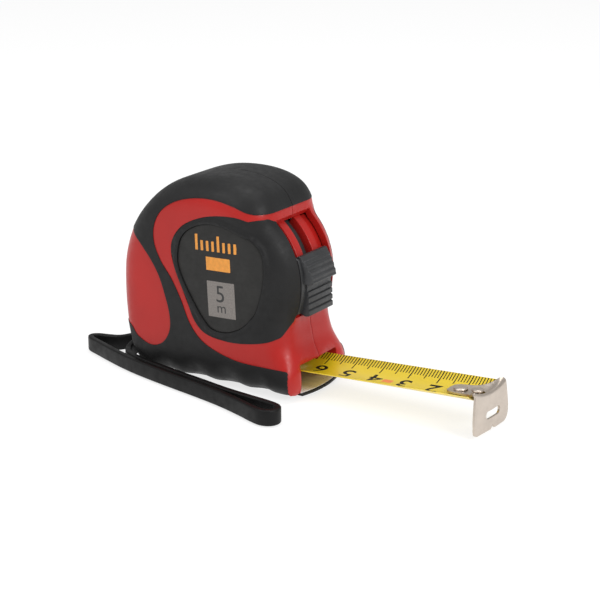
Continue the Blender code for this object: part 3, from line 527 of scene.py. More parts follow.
OUTLINE = dense_outline()
ANGLES, RADII, DEPTHS, WIDTHS = outline_by_angle(OUTLINE)


def round_case(angle):
    """Outline radius, depth and width of the edge rounding, and its arc length, at map angles."""
    radius, depth, width = (np.interp(angle, ANGLES, table, period=2 * math.pi)
                            for table in (RADII, DEPTHS, WIDTHS))
    return radius, depth, width, 0.5 * math.pi * np.sqrt((depth ** 2 + width ** 2) / 2)


def width_share(x, z):
    """Share of the full width that the case has at a place: it narrows at the nose and the foot."""
    toward_nose = np.clip((x - NOSE_TAPER_START) / -NOSE_TAPER_START, 0.0, 1.0)
    below = np.clip(1.0 - z / FOOT_TAPER_TOP, 0.0, 1.0)
    heights, shares = zip(*NOSE_WIDTHS)
    nose = 1.0 - (1.0 - np.interp(z, heights, shares)) * toward_nose ** 1.6
    foot = 1.0 - (1.0 - FOOT_WIDTH_SHARE) * below ** 2 * (1.0 - toward_nose)
    return nose * foot


def fold(flat):
    """Where map points lie on the case: x, distance from the seam plane, z."""
    away, reach, angle = from_centre(flat)
    radius, depth, width, length = round_case(angle)
    edge = radius - depth
    turn = np.clip(0.5 * math.pi * (1.0 - (reach - edge) / length), 0.0, 0.5 * math.pi)
    drawn = np.where(reach <= edge, radius - reach, depth * (1.0 - np.cos(turn)))
    outward = away / np.maximum(reach, 1e-9)[:, None]
    spot = CASE_CENTRE + outward * (radius - drawn)[:, None]
    share = width_share(spot[:, 0], spot[:, 1])
    across = (HALF_WIDTH - width + width * np.sin(turn)) * share
    band = HALF_WIDTH - width - SEAM_GAP
    into = np.clip((reach - edge - length) / band, 0.0, None)
    across = across * (1.0 - into) + SEAM_GAP * into
    return np.stack([spot[:, 0], across, spot[:, 1]], axis=1)


def rim_reach(angle):
    """How far from the centre the map ends, at the seam."""
    radius, depth, width, length = round_case(angle)
    return radius - depth + length + HALF_WIDTH - width - SEAM_GAP


def on_map(points, margin):
    """Which points lie within the map's rim by more than a margin."""
    _, reach, angle = from_centre(points)
    return reach < rim_reach(angle) - margin


def angle_at(side_point):
    away = np.array(side_point) - CASE_CENTRE
    return math.atan2(away[1], away[0])


def map_point(angle, reach):
    return CASE_CENTRE + reach * np.array((math.cos(angle), math.sin(angle)))


def lay(side_points, step=0.45):
    """Map line of a line drawn in side view. Outside the outline it runs straight over to the seam."""
    line = resample(side_points, 0.15)
    _, reach, angle = from_centre(line)
    radius, depth, _, length = round_case(angle)
    edge = radius - depth
    turn = np.arccos(np.clip(1.0 - (radius - reach) / depth, 0.0, 1.0))
    mapped = np.where(reach <= edge, reach, edge + length * (1.0 - turn / (0.5 * math.pi)))
    made = []
    is_in = reach < radius
    for n in range(len(line)):
        if is_in[n]:
            made.append((angle[n], mapped[n]))
        if n + 1 < len(line) and is_in[n] != is_in[n + 1]:
            k = n if is_in[n] else n + 1
            runs = np.linspace(mapped[k], float(rim_reach(angle[k])) + RIM_MARGIN, 24)
            made += [(angle[k], r) for r in (runs if is_in[n] else runs[::-1])]
    made = np.array(made)
    points = CASE_CENTRE + made[:, 1:] * np.stack([np.cos(made[:, 0]), np.sin(made[:, 0])], axis=1)
    return resample(points, step)


def at_width(side_point, across):
    """Map point at a given distance from the seam plane, at a point of the outline's angle."""
    angle = angle_at(side_point)
    radius, depth, *_ = (float(v) for v in round_case(angle))
    reaches = np.linspace(radius - depth, float(rim_reach(angle)), 300)
    widths = fold(map_point(angle, reaches[:, None]))[:, 1]
    return map_point(angle, float(np.interp(-across, -widths, reaches)))


def strip_region(side_points, across):
    """Map outline of a cut that spans from the seam to a given width, along points of the outline."""
    inner = [at_width(p, across) for p in side_points]
    angles = [angle_at(p) for p in side_points]
    outer = [map_point(angle, float(rim_reach(angle)) + RIM_MARGIN) for angle in angles]
    return np.array(inner + outer[::-1])


# ---------------------------------------------------------------- sheets cut along their borders

def triangulate(points, lines, spacing, keep):
    """Triangles over a map, with every line as an edge. Lines are (points, closed)."""
    nodes, edges = [], []
    for line, closed in lines:
        first = len(nodes)
        nodes += [tuple(p) for p in line]
        edges += [(first + n, first + n + 1) for n in range(len(line) - 1)]
        if closed:
            edges.append((len(nodes) - 1, first))
    clear = np.full(len(points), True)
    for line, closed in lines:
        clear &= distance(points, np.asarray(line), closed) > 0.55 * spacing
    nodes += [tuple(p) for p in points[clear]]
    verts, _, faces, *_ = delaunay_2d_cdt([Vector(p) for p in nodes], edges, [], 0, 1e-5)
    verts = np.array([tuple(v) for v in verts])
    faces = np.array([f for f in faces if len(f) == 3])
    middle = verts[faces].mean(axis=1)
    kept = keep(middle)
    return verts, faces[kept], middle[kept]


def hex_grid(low, high, spacing):
    rows = np.arange(low[1], high[1], spacing * 0.866)
    made = []
    for n, y in enumerate(rows):
        xs = np.arange(low[0] + (n % 2) * spacing / 2, high[0], spacing)
        made.append(np.stack([xs, np.full(len(xs), y)], axis=1))
    return np.vstack(made)


def face_normals(points, faces):
    a, b, c = (points[faces[:, k]] for k in range(3))
    return np.cross(b - a, c - a)


def face_forward(points, faces, outward):
    """Turns the triangles so that they look along the given directions at their corners."""
    wrong = (face_normals(points, faces) * outward[faces[:, 0]]).sum(axis=1) < 0
    faces = faces.copy()
    faces[wrong] = faces[wrong][:, ::-1]
    return faces


def face_edges(faces):
    return np.vstack([faces[:, [0, 1]], faces[:, [1, 2]], faces[:, [2, 0]]])


def outline_edges(faces):
    """Edges of the triangles that only one triangle has, in that triangle's direction."""
    keys = {}
    for a, b in face_edges(faces):
        key = (min(a, b), max(a, b))
        keys[key] = None if key in keys else (a, b)
    return [edge for edge in keys.values() if edge]


def new_piece(name, points, faces, materials, place=PLACE, outward=False):
    """An object with its own mesh, its faces turned outwards if asked, carried to its place."""
    mesh = bpy.data.meshes.new(name)
    mesh.from_pydata([tuple(p) for p in points], [], [tuple(int(v) for v in f) for f in faces])
    if outward:
        grid = bmesh.new()
        grid.from_mesh(mesh)
        bmesh.ops.recalc_face_normals(grid, faces=grid.faces)
        grid.to_mesh(mesh)
        grid.free()
    mesh.transform(place)
    for material in materials:
        mesh.materials.append(material)
    return put_object(name, mesh)


def round_edges(piece, width, segments, degrees):
    """Bevels the edges that turn by more than an angle."""
    edge = piece.modifiers.new("edge", "BEVEL")
    edge.width = width * MM
    edge.segments = segments
    edge.limit_method = "ANGLE"
    edge.angle_limit = math.radians(degrees)


def thicken(piece, thickness, offset):
    thick = piece.modifiers.new("thickness", "SOLIDIFY")
    thick.thickness = thickness * MM
    thick.offset = offset
    return thick


def skirted(name, points, faces, inward, materials, slots, lip):
    """A sheet with its edges turned inwards and rounded. inward is how each point's skirt runs."""
    used, back = np.unique(faces, return_inverse=True)
    faces = back.reshape(faces.shape)
    points, inward = points[used], inward[used]
    rim = outline_edges(faces)
    rim_points = sorted({p for edge in rim for p in edge})
    new = {p: len(points) + n for n, p in enumerate(rim_points)}
    every = np.vstack([points, points[rim_points] + inward[rim_points]])
    polygons = [tuple(f) for f in faces] + [(b, a, new[a], new[b]) for a, b in rim]
    made = new_piece(name, every, polygons, materials)
    if slots is not None:
        every_slot = np.concatenate([slots, np.zeros(len(rim))]).astype(np.int32)
        made.data.polygons.foreach_set("material_index", every_slot)
    made.data.shade_smooth()
    round_edges(made, lip, 3, 50.0)
    return made


def apply_modifiers(piece):
    """Makes the evaluated mesh the piece's own."""
    depsgraph = bpy.context.evaluated_depsgraph_get()
    mesh = bpy.data.meshes.new_from_object(piece.evaluated_get(depsgraph))
    old = piece.data
    piece.modifiers.clear()
    piece.data = mesh
    bpy.data.meshes.remove(old)
    return piece


def sharpen(piece, degrees):
    piece.data.shade_smooth()
    piece.data.set_sharp_from_angle(angle=math.radians(degrees))


def join(name, pieces):
    """One object from several, with their modifiers applied, in the order given."""
    bpy.ops.object.select_all(action="DESELECT")
    for piece in pieces:
        apply_modifiers(piece).select_set(True)
    bpy.context.view_layer.objects.active = pieces[0]
    bpy.ops.object.join()
    pieces[0].name = name
    return pieces[0]


def prism_faces(count):
    """Faces of a solid between two like outlines, one outline's points after the other's."""
    faces = [tuple(range(count)), tuple(range(2 * count - 1, count - 1, -1))]
    return faces + [(n, (n + 1) % count, (n + 1) % count + count, n + count) for n in range(count)]


def prism(name, outline, low_y, high_y, material, lip):
    """A solid across the case from an XZ outline, with rounded edges."""
    points = [(x, y, z) for y in (low_y, high_y) for x, z in outline]
    return solid(name, points, prism_faces(len(outline)), material, lip)


def solid(name, points, faces, material, lip=0.0, segments=3, place=PLACE):
    """A closed piece with its edges rounded by lip."""
    made = new_piece(name, points, faces, [material], place, True)
    if lip:
        round_edges(made, lip, segments, 40.0)
    return made


# ---------------------------------------------------------------- the case

def slot_outline():
    """The cut of the lock's slot, along the rounded front."""
    return strip_region([polar(FRONT_RADIUS, d) for d in np.linspace(*SLOT_ARC, 40)], SLOT_HALF_WIDTH)


def mouth_outline():
    """The cut of the mouth: from the back of the jaws underneath, round the nose, to the lip."""
    points = resample(OUTLINE[:, :2], 0.3, closed=True)
    angle = from_centre(points)[2]
    chosen = (angle > angle_at((SILL_BACK, 0.0))) & (angle < angle_at((-0.5, MOUTH_TOP)))
    return strip_region(points[chosen][np.argsort(angle[chosen])], MOUTH_HALF_WIDTH)


def grip_border():
    """The two lines that bound the rubber: the swoosh with the jaw's back, and the leaf."""
    swoosh = spline(SWOOSH_OUTER, 0.6)
    return lay(np.vstack([swoosh, [(JAW_BACK, 7.0), (JAW_BACK, -8.0)]])), lay(spline(LEAF, 0.6))


def grip_zone(points, swoosh, leaf):
    """The rubber lies outside the swoosh and outside the leaf."""
    nose = np.vstack([swoosh, [(40.0, -60.0), (90.0, 0.0), (60.0, 60.0)]])
    back = np.vstack([leaf, [(-150.0, 90.0), (-150.0, 5.0)]])
    return clear_of(points, (nose, back))


def panel_border(side):
    """Outline of the inner panel on the map. On the right it stops short of the slot."""
    width, low, high, count = (SLOT_HALF_WIDTH, -27.0, 47.9, 52) if side < 0 else (12.2, -22.0, 45.0, 50)
    front = [at_width(polar(FRONT_RADIUS, d), width) for d in np.linspace(low, high, count)]
    return resample(np.vstack([lay(spline(PANEL_BACK, 0.6)), front]), 0.5, closed=True)


def case_height(points, spots, region, side, label):
    """How far each point of a region stands out from the plain surface of the case."""
    height = np.zeros(len(points))
    x, z = spots[:, 0], spots[:, 2]
    if region == "grip":
        height += 0.18 - 0.5 * (1.0 - fade(z, 0.0, 2.5))
        low = 1.0 - fade(z, 2.0, 9.0)
        along = fade(x, -62.0, -56.0) * (1.0 - fade(x, -12.0, -6.0))
        side_edge = fade(spots[:, 1], 11.0, 14.5)
        height -= 0.38 * low * along * side_edge * (1.0 - np.cos(math.tau * (x + 5.0) / 12.4))
    if region == "panel":
        height += 0.1
    if region == "panel" and side < 0:
        away = distance(points, label, closed=True)
        height += 0.42 * np.exp(-((away - 0.75) / 0.55) ** 2)
        height -= 0.22 * np.exp(-((away - 2.1) / 0.5) ** 2)
    if region == "label":
        height += -0.28 + 0.12 * fade(distance(points, label, closed=True), 0.0, 6.0)
    return height


def label_marks():
    """Print on the label as (outline, ink): a row of ruler ticks, an orange block and a grey tile."""
    bars = [(-32.2 + 2.05 * n, 43.2 + tall / 2, 0.95, tall, 1)
            for n, tall in enumerate((5.0, 3.2, 3.2, 3.2) * 2)]
    bars += [(-24.4, 39.3, 9.0, 4.2, 1), (-23.9, 28.1, 10.2, 11.4, 2)]
    marks = [(box(x - wide / 2, z - tall / 2, x + wide / 2, z + tall / 2), ink)
             for x, z, wide, tall, ink in bars]
    for text, height, centre in (("5", 5.3, (-24.2, 29.9)), ("m", 2.2, (-23.9, 25.0))):
        marks += [(outline, 3) for outline in letter_outlines(text, height, centre)]
    return marks


def letter_outlines(text, height, centre, turn=False, wide=1.0, weight=0.0):
    """Closed outlines of a plain letter or digit, centred, in millimetres, the largest first."""
    curve = bpy.data.curves.new("letter", "FONT")
    curve.body = text
    curve.resolution_u = 4
    curve.offset = weight
    letter = put_object("letter", curve)
    mesh = bpy.data.meshes.new_from_object(letter)
    bpy.data.objects.remove(letter)
    grid = bmesh.new()
    grid.from_mesh(mesh)
    bmesh.ops.remove_doubles(grid, verts=grid.verts, dist=1e-5)
    edges = {e for e in grid.edges if len(e.link_faces) == 1}
    loops = []
    while edges:
        edge = edges.pop()
        loop = [edge.verts[0], edge.verts[1]]
        while True:
            found = next((e for e in loop[-1].link_edges if e in edges), None)
            if found is None:
                break
            edges.remove(found)
            loop.append(found.other_vert(loop[-1]))
        if loop[0] == loop[-1]:
            loop.pop()
        loops.append(np.array([(v.co.x, v.co.y) for v in loop]))
    grid.free()
    bpy.data.meshes.remove(mesh)
    every = np.vstack(loops)
    low, high = every.min(axis=0), every.max(axis=0)
    scale = np.array((wide, 1.0)) * height / (high[1] - low[1])
    sign = -1.0 if turn else 1.0
    made = [sign * (loop - (low + high) / 2) * scale + np.array(centre) for loop in loops]
    return sorted(made, key=lambda loop: -np.ptp(loop[:, 0]) * np.ptp(loop[:, 1]))


def ink_of(points, marks):
    """Material number of each point. A letter's holes flip it back to what lies under it."""
    ink = np.zeros(len(points), np.int32)
    for number in sorted({kind for _, kind in marks}):
        odd = np.zeros(len(points), bool)
        for outline, kind in marks:
            if kind == number:
                odd ^= inside(points, outline)
        ink[odd] = number
    return ink


def normals_at(points, side):
    """Outward direction of the case at map points, from neighbouring points of the map."""
    step = 0.05
    across = fold(points + (step, 0.0)) - fold(points - (step, 0.0))
    up = fold(points + (0.0, step)) - fold(points - (0.0, step))
    normal = np.cross(up, across)
    normal /= np.maximum(norms(normal), 1e-9)[:, None]
    wrong = (normal * (fold(points) - (CASE_CENTRE[0], 0.0, CASE_CENTRE[1]))).sum(axis=1) < 0
    normal[wrong] *= -1.0
    normal[:, 1] *= side
    return normal


def soften(spots, faces, free, side):
    """Evens out the surface. Points on a border only move along the surface's normal."""
    both = face_edges(faces)
    both = np.vstack([both, both[:, ::-1]])
    count = np.maximum(np.bincount(both[:, 0], minlength=len(spots)), 1.0)[:, None]
    seam = side * spots[:, 1] < 2 * SEAM_GAP
    outward = spots - (CASE_CENTRE[0], 0.0, CASE_CENTRE[1])
    for turn in range(SOFTEN_ROUNDS):
        if turn % 8 == 0:
            normals = vertex_normals(spots, faces, outward)
            normals[seam, 1] = 0.0
        total = np.zeros_like(spots)
        np.add.at(total, both[:, 0], spots[both[:, 1]])
        step = 0.5 * (total / count - spots)
        along = normals * (step * normals).sum(axis=1)[:, None]
        move = np.where(free[:, None], step, along)
        move[seam, 1] = 0.0
        spots = spots + move
    return spots


def vertex_normals(points, faces, outward):
    """Unit normals from the triangles round each point, or outward where there are none."""
    normal = face_normals(points, faces)
    normal *= np.sign((normal * outward[faces[:, 0]]).sum(axis=1))[:, None]
    total = np.zeros_like(points)
    for k in range(3):
        np.add.at(total, faces[:, k], normal)
    size = norms(total)[:, None]
    return np.where(size > 1e-9, total / np.maximum(size, 1e-9), outward)


def make_case_side(word, side, looks):
    """All the outer pieces of one half: red shell, grip, panel and, on the left, the label."""
    swoosh, leaf = grip_border()
    panel = panel_border(side)
    label = spline(LABEL, 0.5, closed=True)
    slot, mouth = slot_outline(), mouth_outline()
    slot_line, mouth_line = (resample(cut, 0.4, True) for cut in (slot, mouth))
    rim = np.array([map_point(a, float(rim_reach(a))) for a in np.linspace(-math.pi, math.pi, 520)[:-1]])
    lines = [(rim, True), (swoosh, False), (leaf, False), (panel, True), (slot_line, True),
             (mouth_line, True)]
    marks, holes = [], []
    if side < 0:
        marks = label_marks()
        lines += [(label, True)] + [loop(outline, 0.35) for outline, _ in marks]
    else:
        holes = [ring(SCREW_HOLE, 15, centre) for centre in SCREWS] + [ring(CLIP_SCREW_HOLE, 20, CLIP_SCREW)]
        lines += [(hole, True) for hole in holes]
    grid = hex_grid(*MAP_SPAN, MAP_SPACING)
    verts, faces, middle = triangulate(grid[on_map(grid, 0.3)], lines, MAP_SPACING,
                                       lambda spot: on_map(spot, 0.005) & clear_of(spot, holes))
    in_slot, in_mouth = inside(middle, slot), inside(middle, mouth)
    in_grip = grip_zone(middle, swoosh, leaf)
    in_panel = inside(middle, panel) & ~in_grip
    in_label = inside(middle, label) & in_panel & (side < 0)
    chosen = {"grip": in_grip,
              "panel": in_panel & ~in_label & ~in_slot,
              "label": in_label,
              "shell": ~in_grip & ~in_panel & ~in_slot & ~in_mouth}
    mirror = (1.0, side, 1.0)
    free = np.ones(len(verts), bool)
    for line, closed in lines[1:]:
        free &= distance(verts, line, closed) > ON_LINE
    flipped = soften(fold(verts) * mirror, faces, free, side)
    spots = flipped * mirror
    normals = vertex_normals(flipped, faces, normals_at(verts, side))
    to_mouth = distance(verts, mouth_line, True)
    near_slot = distance(verts, slot_line, True) < ON_LINE
    radial = (flipped - (LOCK_AXIS[0], 0.0, LOCK_AXIS[1])) * (1.0, 0.0, 1.0)
    to_lock = -2.2 * radial / norms(radial)[:, None]
    made = {}
    for region, (lip, *names) in REGIONS.items():
        picked = chosen[region]
        if not picked.any():
            continue
        height = case_height(verts, spots, region, side, label)
        inward = -SKIRT * normals
        if region == "shell":
            height -= 0.5 * (1.0 - fade(to_mouth, 0.0, 1.5))
            inward[to_mouth < ON_LINE] = (-9.0, 0.0, 0.0)
        if region == "grip":
            inward[(spots[:, 2] < 1.5) & (spots[:, 0] > -18.0)] *= 0.4
        if region in ("shell", "panel"):
            inward[near_slot] = to_lock[near_slot]
        points = flipped + normals * height[:, None]
        points[:, 1] = np.where(side * points[:, 1] < SEAM_GAP, side * SEAM_GAP, points[:, 1])
        triangles = face_forward(points, faces[picked], normals)
        slots = ink_of(middle[picked], marks) if region == "label" else None
        made[region] = skirted(f"{region}_{word}_look", points, triangles, inward,
                               [looks[name] for name in names], slots, lip)
    return made


def make_rails(word, side, looks):
    """One half of the lock's track: a raised rail beside the slit, and a lower ledge outside it."""
    low_end, high_end = SLOT_ARC[0] - 0.5, SLOT_ARC[1] + 0.3
    pieces = []
    for name, radius, inner, outer in (("rail", RAIL_RADIUS, SLIT_HALF_WIDTH, RAIL_EDGE),
                                       ("ledge", RAIL_RADIUS - 1.1, RAIL_EDGE - 0.6, SLOT_HALF_WIDTH + 1.2)):
        outline = [polar(radius, d) for d in np.linspace(low_end, high_end, 40)]
        outline += [polar(RAIL_RADIUS - 3.0, d) for d in np.linspace(high_end, low_end, 40)]
        low, high = sorted((side * inner, side * outer))
        pieces.append(prism(f"{name}_{word}", outline, low, high, looks["red"], 0.3))
    return join(f"rail_{word}", pieces)


def make_case(looks):
    for word, side in (("left", -1), ("right", 1)):
        made = make_case_side(word, side, looks)
        shell = join(f"shell_{word}", [made["shell"], make_rails(word, side, looks)])
        finish_piece(shell, 40.0, "case", "red_shell", f"case_{word}")
        grip = join(f"grip_rubber_{word}", [made["grip"], make_sole_lip(word, side, looks)])
        finish_piece(grip, 50.0, "case", "grip_rubber", f"grip_{word}")
        panel = apply_modifiers(made["panel"])
        panel.name = f"panel_rubber_{word}"
        finish_piece(panel, 50.0, "case", "grip_rubber", f"panel_{word}")
        if side < 0:
            label = apply_modifiers(made["label"])
            label.name = "label_face"
            finish_piece(label, 50.0, "case", "label", "label_plate")


def bow(across):
    """Front edge of the sill between the jaws, which bulges forward in the middle."""
    return -0.5 + 1.5 * (1.0 - (across / MOUTH_HALF_WIDTH) ** 2)


def make_sole_lip(word, side, looks):
    """The strip of sole between the jaws, with its bowed front edge."""
    rows = [SEAM_GAP + (MOUTH_HALF_WIDTH - 0.1 - SEAM_GAP) * n / 13 for n in range(14)]
    outline = [(LIP_REAR, rows[0])] + [(float(bow(a)), a) for a in rows] + [(LIP_REAR, rows[-1])]
    points = [(x, side * y, sole_height(x) - 0.15) for x, y in outline]
    points += [(x, side * y, SILL_TOP) for x, y in outline]
    return solid(f"sole_lip_{word}", points, prism_faces(len(outline)), looks["rubber"], 0.25)


def make_wear_plate(looks):
    """The pale plate on the sill, under the blade, its colour painted lighter and bluer than its own as
    painted light against the shade and yellow bounce there.
    """
    rows = np.linspace(0.1 - MOUTH_HALF_WIDTH, MOUTH_HALF_WIDTH - 0.1, 27)
    outline = [(PLATE_REAR, rows[0])] + [(float(bow(a)) - 0.5, a) for a in rows] + [(PLATE_REAR, rows[-1])]
    points = [(x, y, z) for z in (SILL_TOP, SILL_TOP + 0.25) for x, y in outline]
    plate = solid("mouth_wear_plate", points, prism_faces(len(outline)), looks["plate"], 0.08, 2)
    finish_piece(apply_modifiers(plate), 40.0, "case", "wear_plate", "mouth_plate")


def finish_piece(piece, degrees, body, slot, *nodes):
    """Shades a piece smooth up to an angle, hides the CAD nodes it stands for and hangs it on its body. The
    slot is not used.
    """
    sharpen(piece, degrees)
    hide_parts(*nodes)
    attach(piece, body)


# ---------------------------------------------------------------- the blade

def trough(x, along):
    """Across and up from the strip's middle line, for a distance measured along its curved width."""
    share = np.clip((x - BLADE_BACK) / (BLADE_END - BLADE_BACK), 0.0, 1.0)
    sag = MOUTH_SAG + (END_SAG - MOUTH_SAG) * share
    sag = sag * (1.0 - fade(-x, 3.0, 27.0)) + 0.001
    radius = (BLADE_WIDTH / 2) ** 2 / (2.0 * sag)
    return radius * np.sin(along / radius), radius * (1.0 - np.cos(along / radius))


def blade_marks():
    """Ticks from the far edge and digits by the near edge, as (outline, ink)."""
    marks = []
    edge = BLADE_WIDTH / 2 - 0.02
    for n in range(3, 88):
        x = SCALE_ZERO - n
        length, wide = next(size for every, *size in TICKS if n % every == 0)
        marks.append((box(x - wide / 2, edge - length, x + wide / 2, edge), 1))
    for number in range(1, 9):
        middle = (SCALE_ZERO + 0.9 - 10 * number, -0.3)
        marks += [(outline, 1) for outline in letter_outlines(str(number), 5.9, middle, True, 1.15, 0.012)]
    marks.append((box(22.6, -1.9, 26.0, 0.7), 2))
    return marks


def make_blade(looks):
    """The whole visible strip, from inside the case to the hook, with its marks cut into the mesh."""
    back, half = BLADE_IN_CASE, BLADE_WIDTH / 2
    marks = blade_marks()
    border = box(back, -half, BLADE_END, half)
    lines = [loop(border, 0.8)] + [loop(outline, 0.35 if ink == 1 else 0.6) for outline, ink in marks]
    for line, _ in lines[1:]:
        line[:, 1] = np.clip(line[:, 1], -half, half)
    rivet_holes = [ring(RIVET_HOLE, 24, (x, 0.0)) for x in RIVET_X]
    lines += [(hole, True) for hole in rivet_holes]
    grid = hex_grid((back + 0.4, -half + 0.3), (BLADE_END - 0.3, half - 0.2), 0.85)
    verts, faces, middle = triangulate(grid, lines, 0.6,
                                       lambda spot: inside(spot, border) & clear_of(spot, rivet_holes))
    lift = BLADE_RISE * fade(-verts[:, 0], *BLADE_RISE_RUN)
    across, rise = trough(verts[:, 0], verts[:, 1])
    points = np.stack([verts[:, 0], across, BLADE_TROUGH + lift + rise], axis=1)
    triangles = face_forward(points, faces, np.tile((0.0, 0.0, 1.0), (len(points), 1)))
    # The first three materials are the upper side's, by ink, and the last three the under side's.
    materials = [looks[name] for name in ("yellow", "blade_ink", "blade_red")] + [looks["yellow"]] * 3
    blade = new_piece("blade_strip", points, triangles, materials)
    blade.data.polygons.foreach_set("material_index", ink_of(middle, marks))
    thick = thicken(blade, BLADE_THICKNESS, -1.0)
    thick.material_offset = 3
    thick.material_offset_rim = 3
    sharpen(apply_modifiers(blade), 40.0)
    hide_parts("blade", "blade_inner_run")
    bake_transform(blade)


# ---------------------------------------------------------------- the hook and its rivets

def rounded_slot(length, width):
    """Outline of a slot with round ends, centred."""
    made = []
    for sign in (1.0, -1.0):
        for n in range(9):
            angle = math.pi * (n / 8 - 0.5)
            made.append((sign * ((length - width) / 2 + width / 2 * math.cos(angle)),
                         sign * width / 2 * math.sin(angle)))
    return np.array(made)


def make_hook(looks):
    """Sheet metal cut flat, then curved along the tongue and bent down over a tight radius."""
    lift = BLADE_TROUGH + 0.6 + HOOK_THICKNESS
    flat_end = HOOK_FACE - HOOK_BEND
    bent = flat_end + HOOK_BEND * math.pi / 2
    top = lift - HOOK_BEND
    drop = bent + top - HOOK_BOTTOM
    half = HOOK_HALF_WIDTH
    far_line = spline([(TONGUE_BACK + 0.5, 2.3), (46.9, 3.1), (48.8, 3.5), (51.6, 3.9), (53.8, 4.7),
                       (55.4, 6.0), (56.6, 7.6), (57.4, 8.8), (flat_end + 0.2, 9.7),
                       (flat_end + 1.2, 10.2), (bent + 0.4, 10.5), (bent + 2.5, half), (drop - 3.2, half),
                       (drop - 1.5, half - 0.4), (drop - 0.45, half - 1.4), (drop, half - 3.0)], 0.5)
    near_line = np.vstack([far_line[:-8] * (1.0, -1.0), [(drop - 1.2, -half), (drop - 0.35, -half + 0.35),
                                                         (drop, -half + 1.3)]])
    back_line = [(TONGUE_BACK + 0.15, -1.7), (TONGUE_BACK, -0.9), (TONGUE_BACK, 0.9),
                 (TONGUE_BACK + 0.15, 1.7)]
    outline = np.vstack([far_line, near_line[::-1], back_line])
    notch = np.array([(drop + 0.6, NOTCH_Y - 2.0), (drop, NOTCH_Y - 1.5), (drop - 1.1, NOTCH_Y - 0.25),
                      (drop - 1.1, NOTCH_Y + 0.1), (drop, NOTCH_Y + 1.0), (drop + 0.6, NOTCH_Y + 1.4)])
    nail = rounded_slot(*NAIL_SLOT)[:, ::-1] + (bent + top - SLOT_Z, NOTCH_Y)
    rivets = [ring(HOOK_HOLE, 20, (x + HOOK_FLOAT, 0.0)) for x in RIVET_X]
    lines = [loop(outline, 0.45), loop(nail, 0.35), loop(notch, 0.3)] + [(rivet, True) for rivet in rivets]
    lines += [(np.array([(x, y) for y in np.arange(-half, half + 0.1, 0.5)]), False)
              for x in np.linspace(flat_end, bent, 7)]
    grid = hex_grid((TONGUE_BACK, -half), (drop, half), 0.6)
    verts, faces, _ = triangulate(grid, lines, 0.5, lambda spot: inside(spot, outline)
                                  & clear_of(spot, [nail, notch] + rivets))
    run, y = verts[:, 0], verts[:, 1]
    across, rise = trough(np.full(len(y), HOOK_FACE), y)
    spread = fade(run, *HOOK_SPREAD)
    rise = rise * (1.0 - 0.5 * spread) + 1.45 * spread
    turn = np.clip((run - flat_end) / HOOK_BEND, 0.0, math.pi / 2)
    below = np.clip(run - bent, 0.0, None)
    x = np.where(run < flat_end, run, flat_end + HOOK_BEND * np.sin(turn))
    start = lift + rise
    z = np.where(run < flat_end, start, start - HOOK_BEND * (1.0 - np.cos(turn)) - below)
    full = top + rise
    lowest = HOOK_BOTTOM + 0.062 * np.clip(3.0 - y, 0.0, None)
    z = np.where(run > bent, full - (full - lowest) * below / (top - HOOK_BOTTOM), z)
    z += HOOK_ROLL * -y * np.clip((x - 54.5) / 4.5, 0.0, 1.0) * np.clip(1.0 - below / 7.0, 0.0, 1.0)
    y = across + (y - across) * np.clip(below / 6.0, 0.0, 1.0)
    points = np.stack([x, y, z], axis=1)
    outward = np.stack([np.sin(turn), np.zeros(len(x)), np.cos(turn)], axis=1)
    hook = new_piece("end_hook", points, face_forward(points, faces, outward), [looks["nickel"]])
    thicken(hook, HOOK_THICKNESS, -1.0).use_even_offset = True
    round_edges(hook, 0.12, 2, 60.0)
    finish_piece(apply_modifiers(hook), 45.0, "hook", "nickel", "hook")


def lathe(name, profile, centre, axis_up, material, sides):
    """A turned piece from (radius, height) rows, standing at a point."""
    points, faces, rings = [], [], []
    turn = Vector((0.0, 0.0, 1.0)).rotation_difference(Vector(axis_up)).to_matrix()
    for radius, height in profile:
        count = 1 if radius < 1e-6 else sides
        rings.append([len(points)] * sides if count == 1 else list(range(len(points), len(points) + sides)))
        for n in range(count):
            angle = math.tau * n / sides
            spot = Vector((radius * math.cos(angle), radius * math.sin(angle), height))
            points.append(Vector(centre) + turn @ spot)
    for first, second in zip(rings, rings[1:]):
        for n in range(sides):
            after = (n + 1) % sides
            faces.append(tuple(dict.fromkeys((first[n], first[after], second[after], second[n]))))
    return solid(name, points, faces, material)


def make_rivets(looks):
    """The two rivets, with their domed heads on the tongue and their tails under the blade."""
    under = BLADE_TROUGH - BLADE_THICKNESS
    for number, x in enumerate(RIVET_X, 1):
        top = BLADE_TROUGH + 0.4 + HOOK_THICKNESS + 0.35 * (number - 1)
        head = 2.15 - 0.25 * (number - 1)
        profile = [(0.0, under - 0.75), (1.2, under - 0.72), (1.6, under - 0.5), (1.65, under - 0.12),
                   (1.0, under - 0.1), (1.0, top + 0.3), (head - 0.1, top + 0.35), (head, top + 0.65)]
        for n in range(1, 9):
            angle = math.radians(90 * n / 8)
            profile.append(((head - 0.02) * math.cos(angle), top + 0.7 + 0.5 * math.sin(angle)))
        rivet = lathe(f"rivet_{number}", profile, (x, 0.0, 0.0), (0, 0, 1), looks["nickel"], 36)
        finish_piece(rivet, 40.0, "blade", "nickel", f"hook_rivet_{number}")


# ---------------------------------------------------------------- the lock

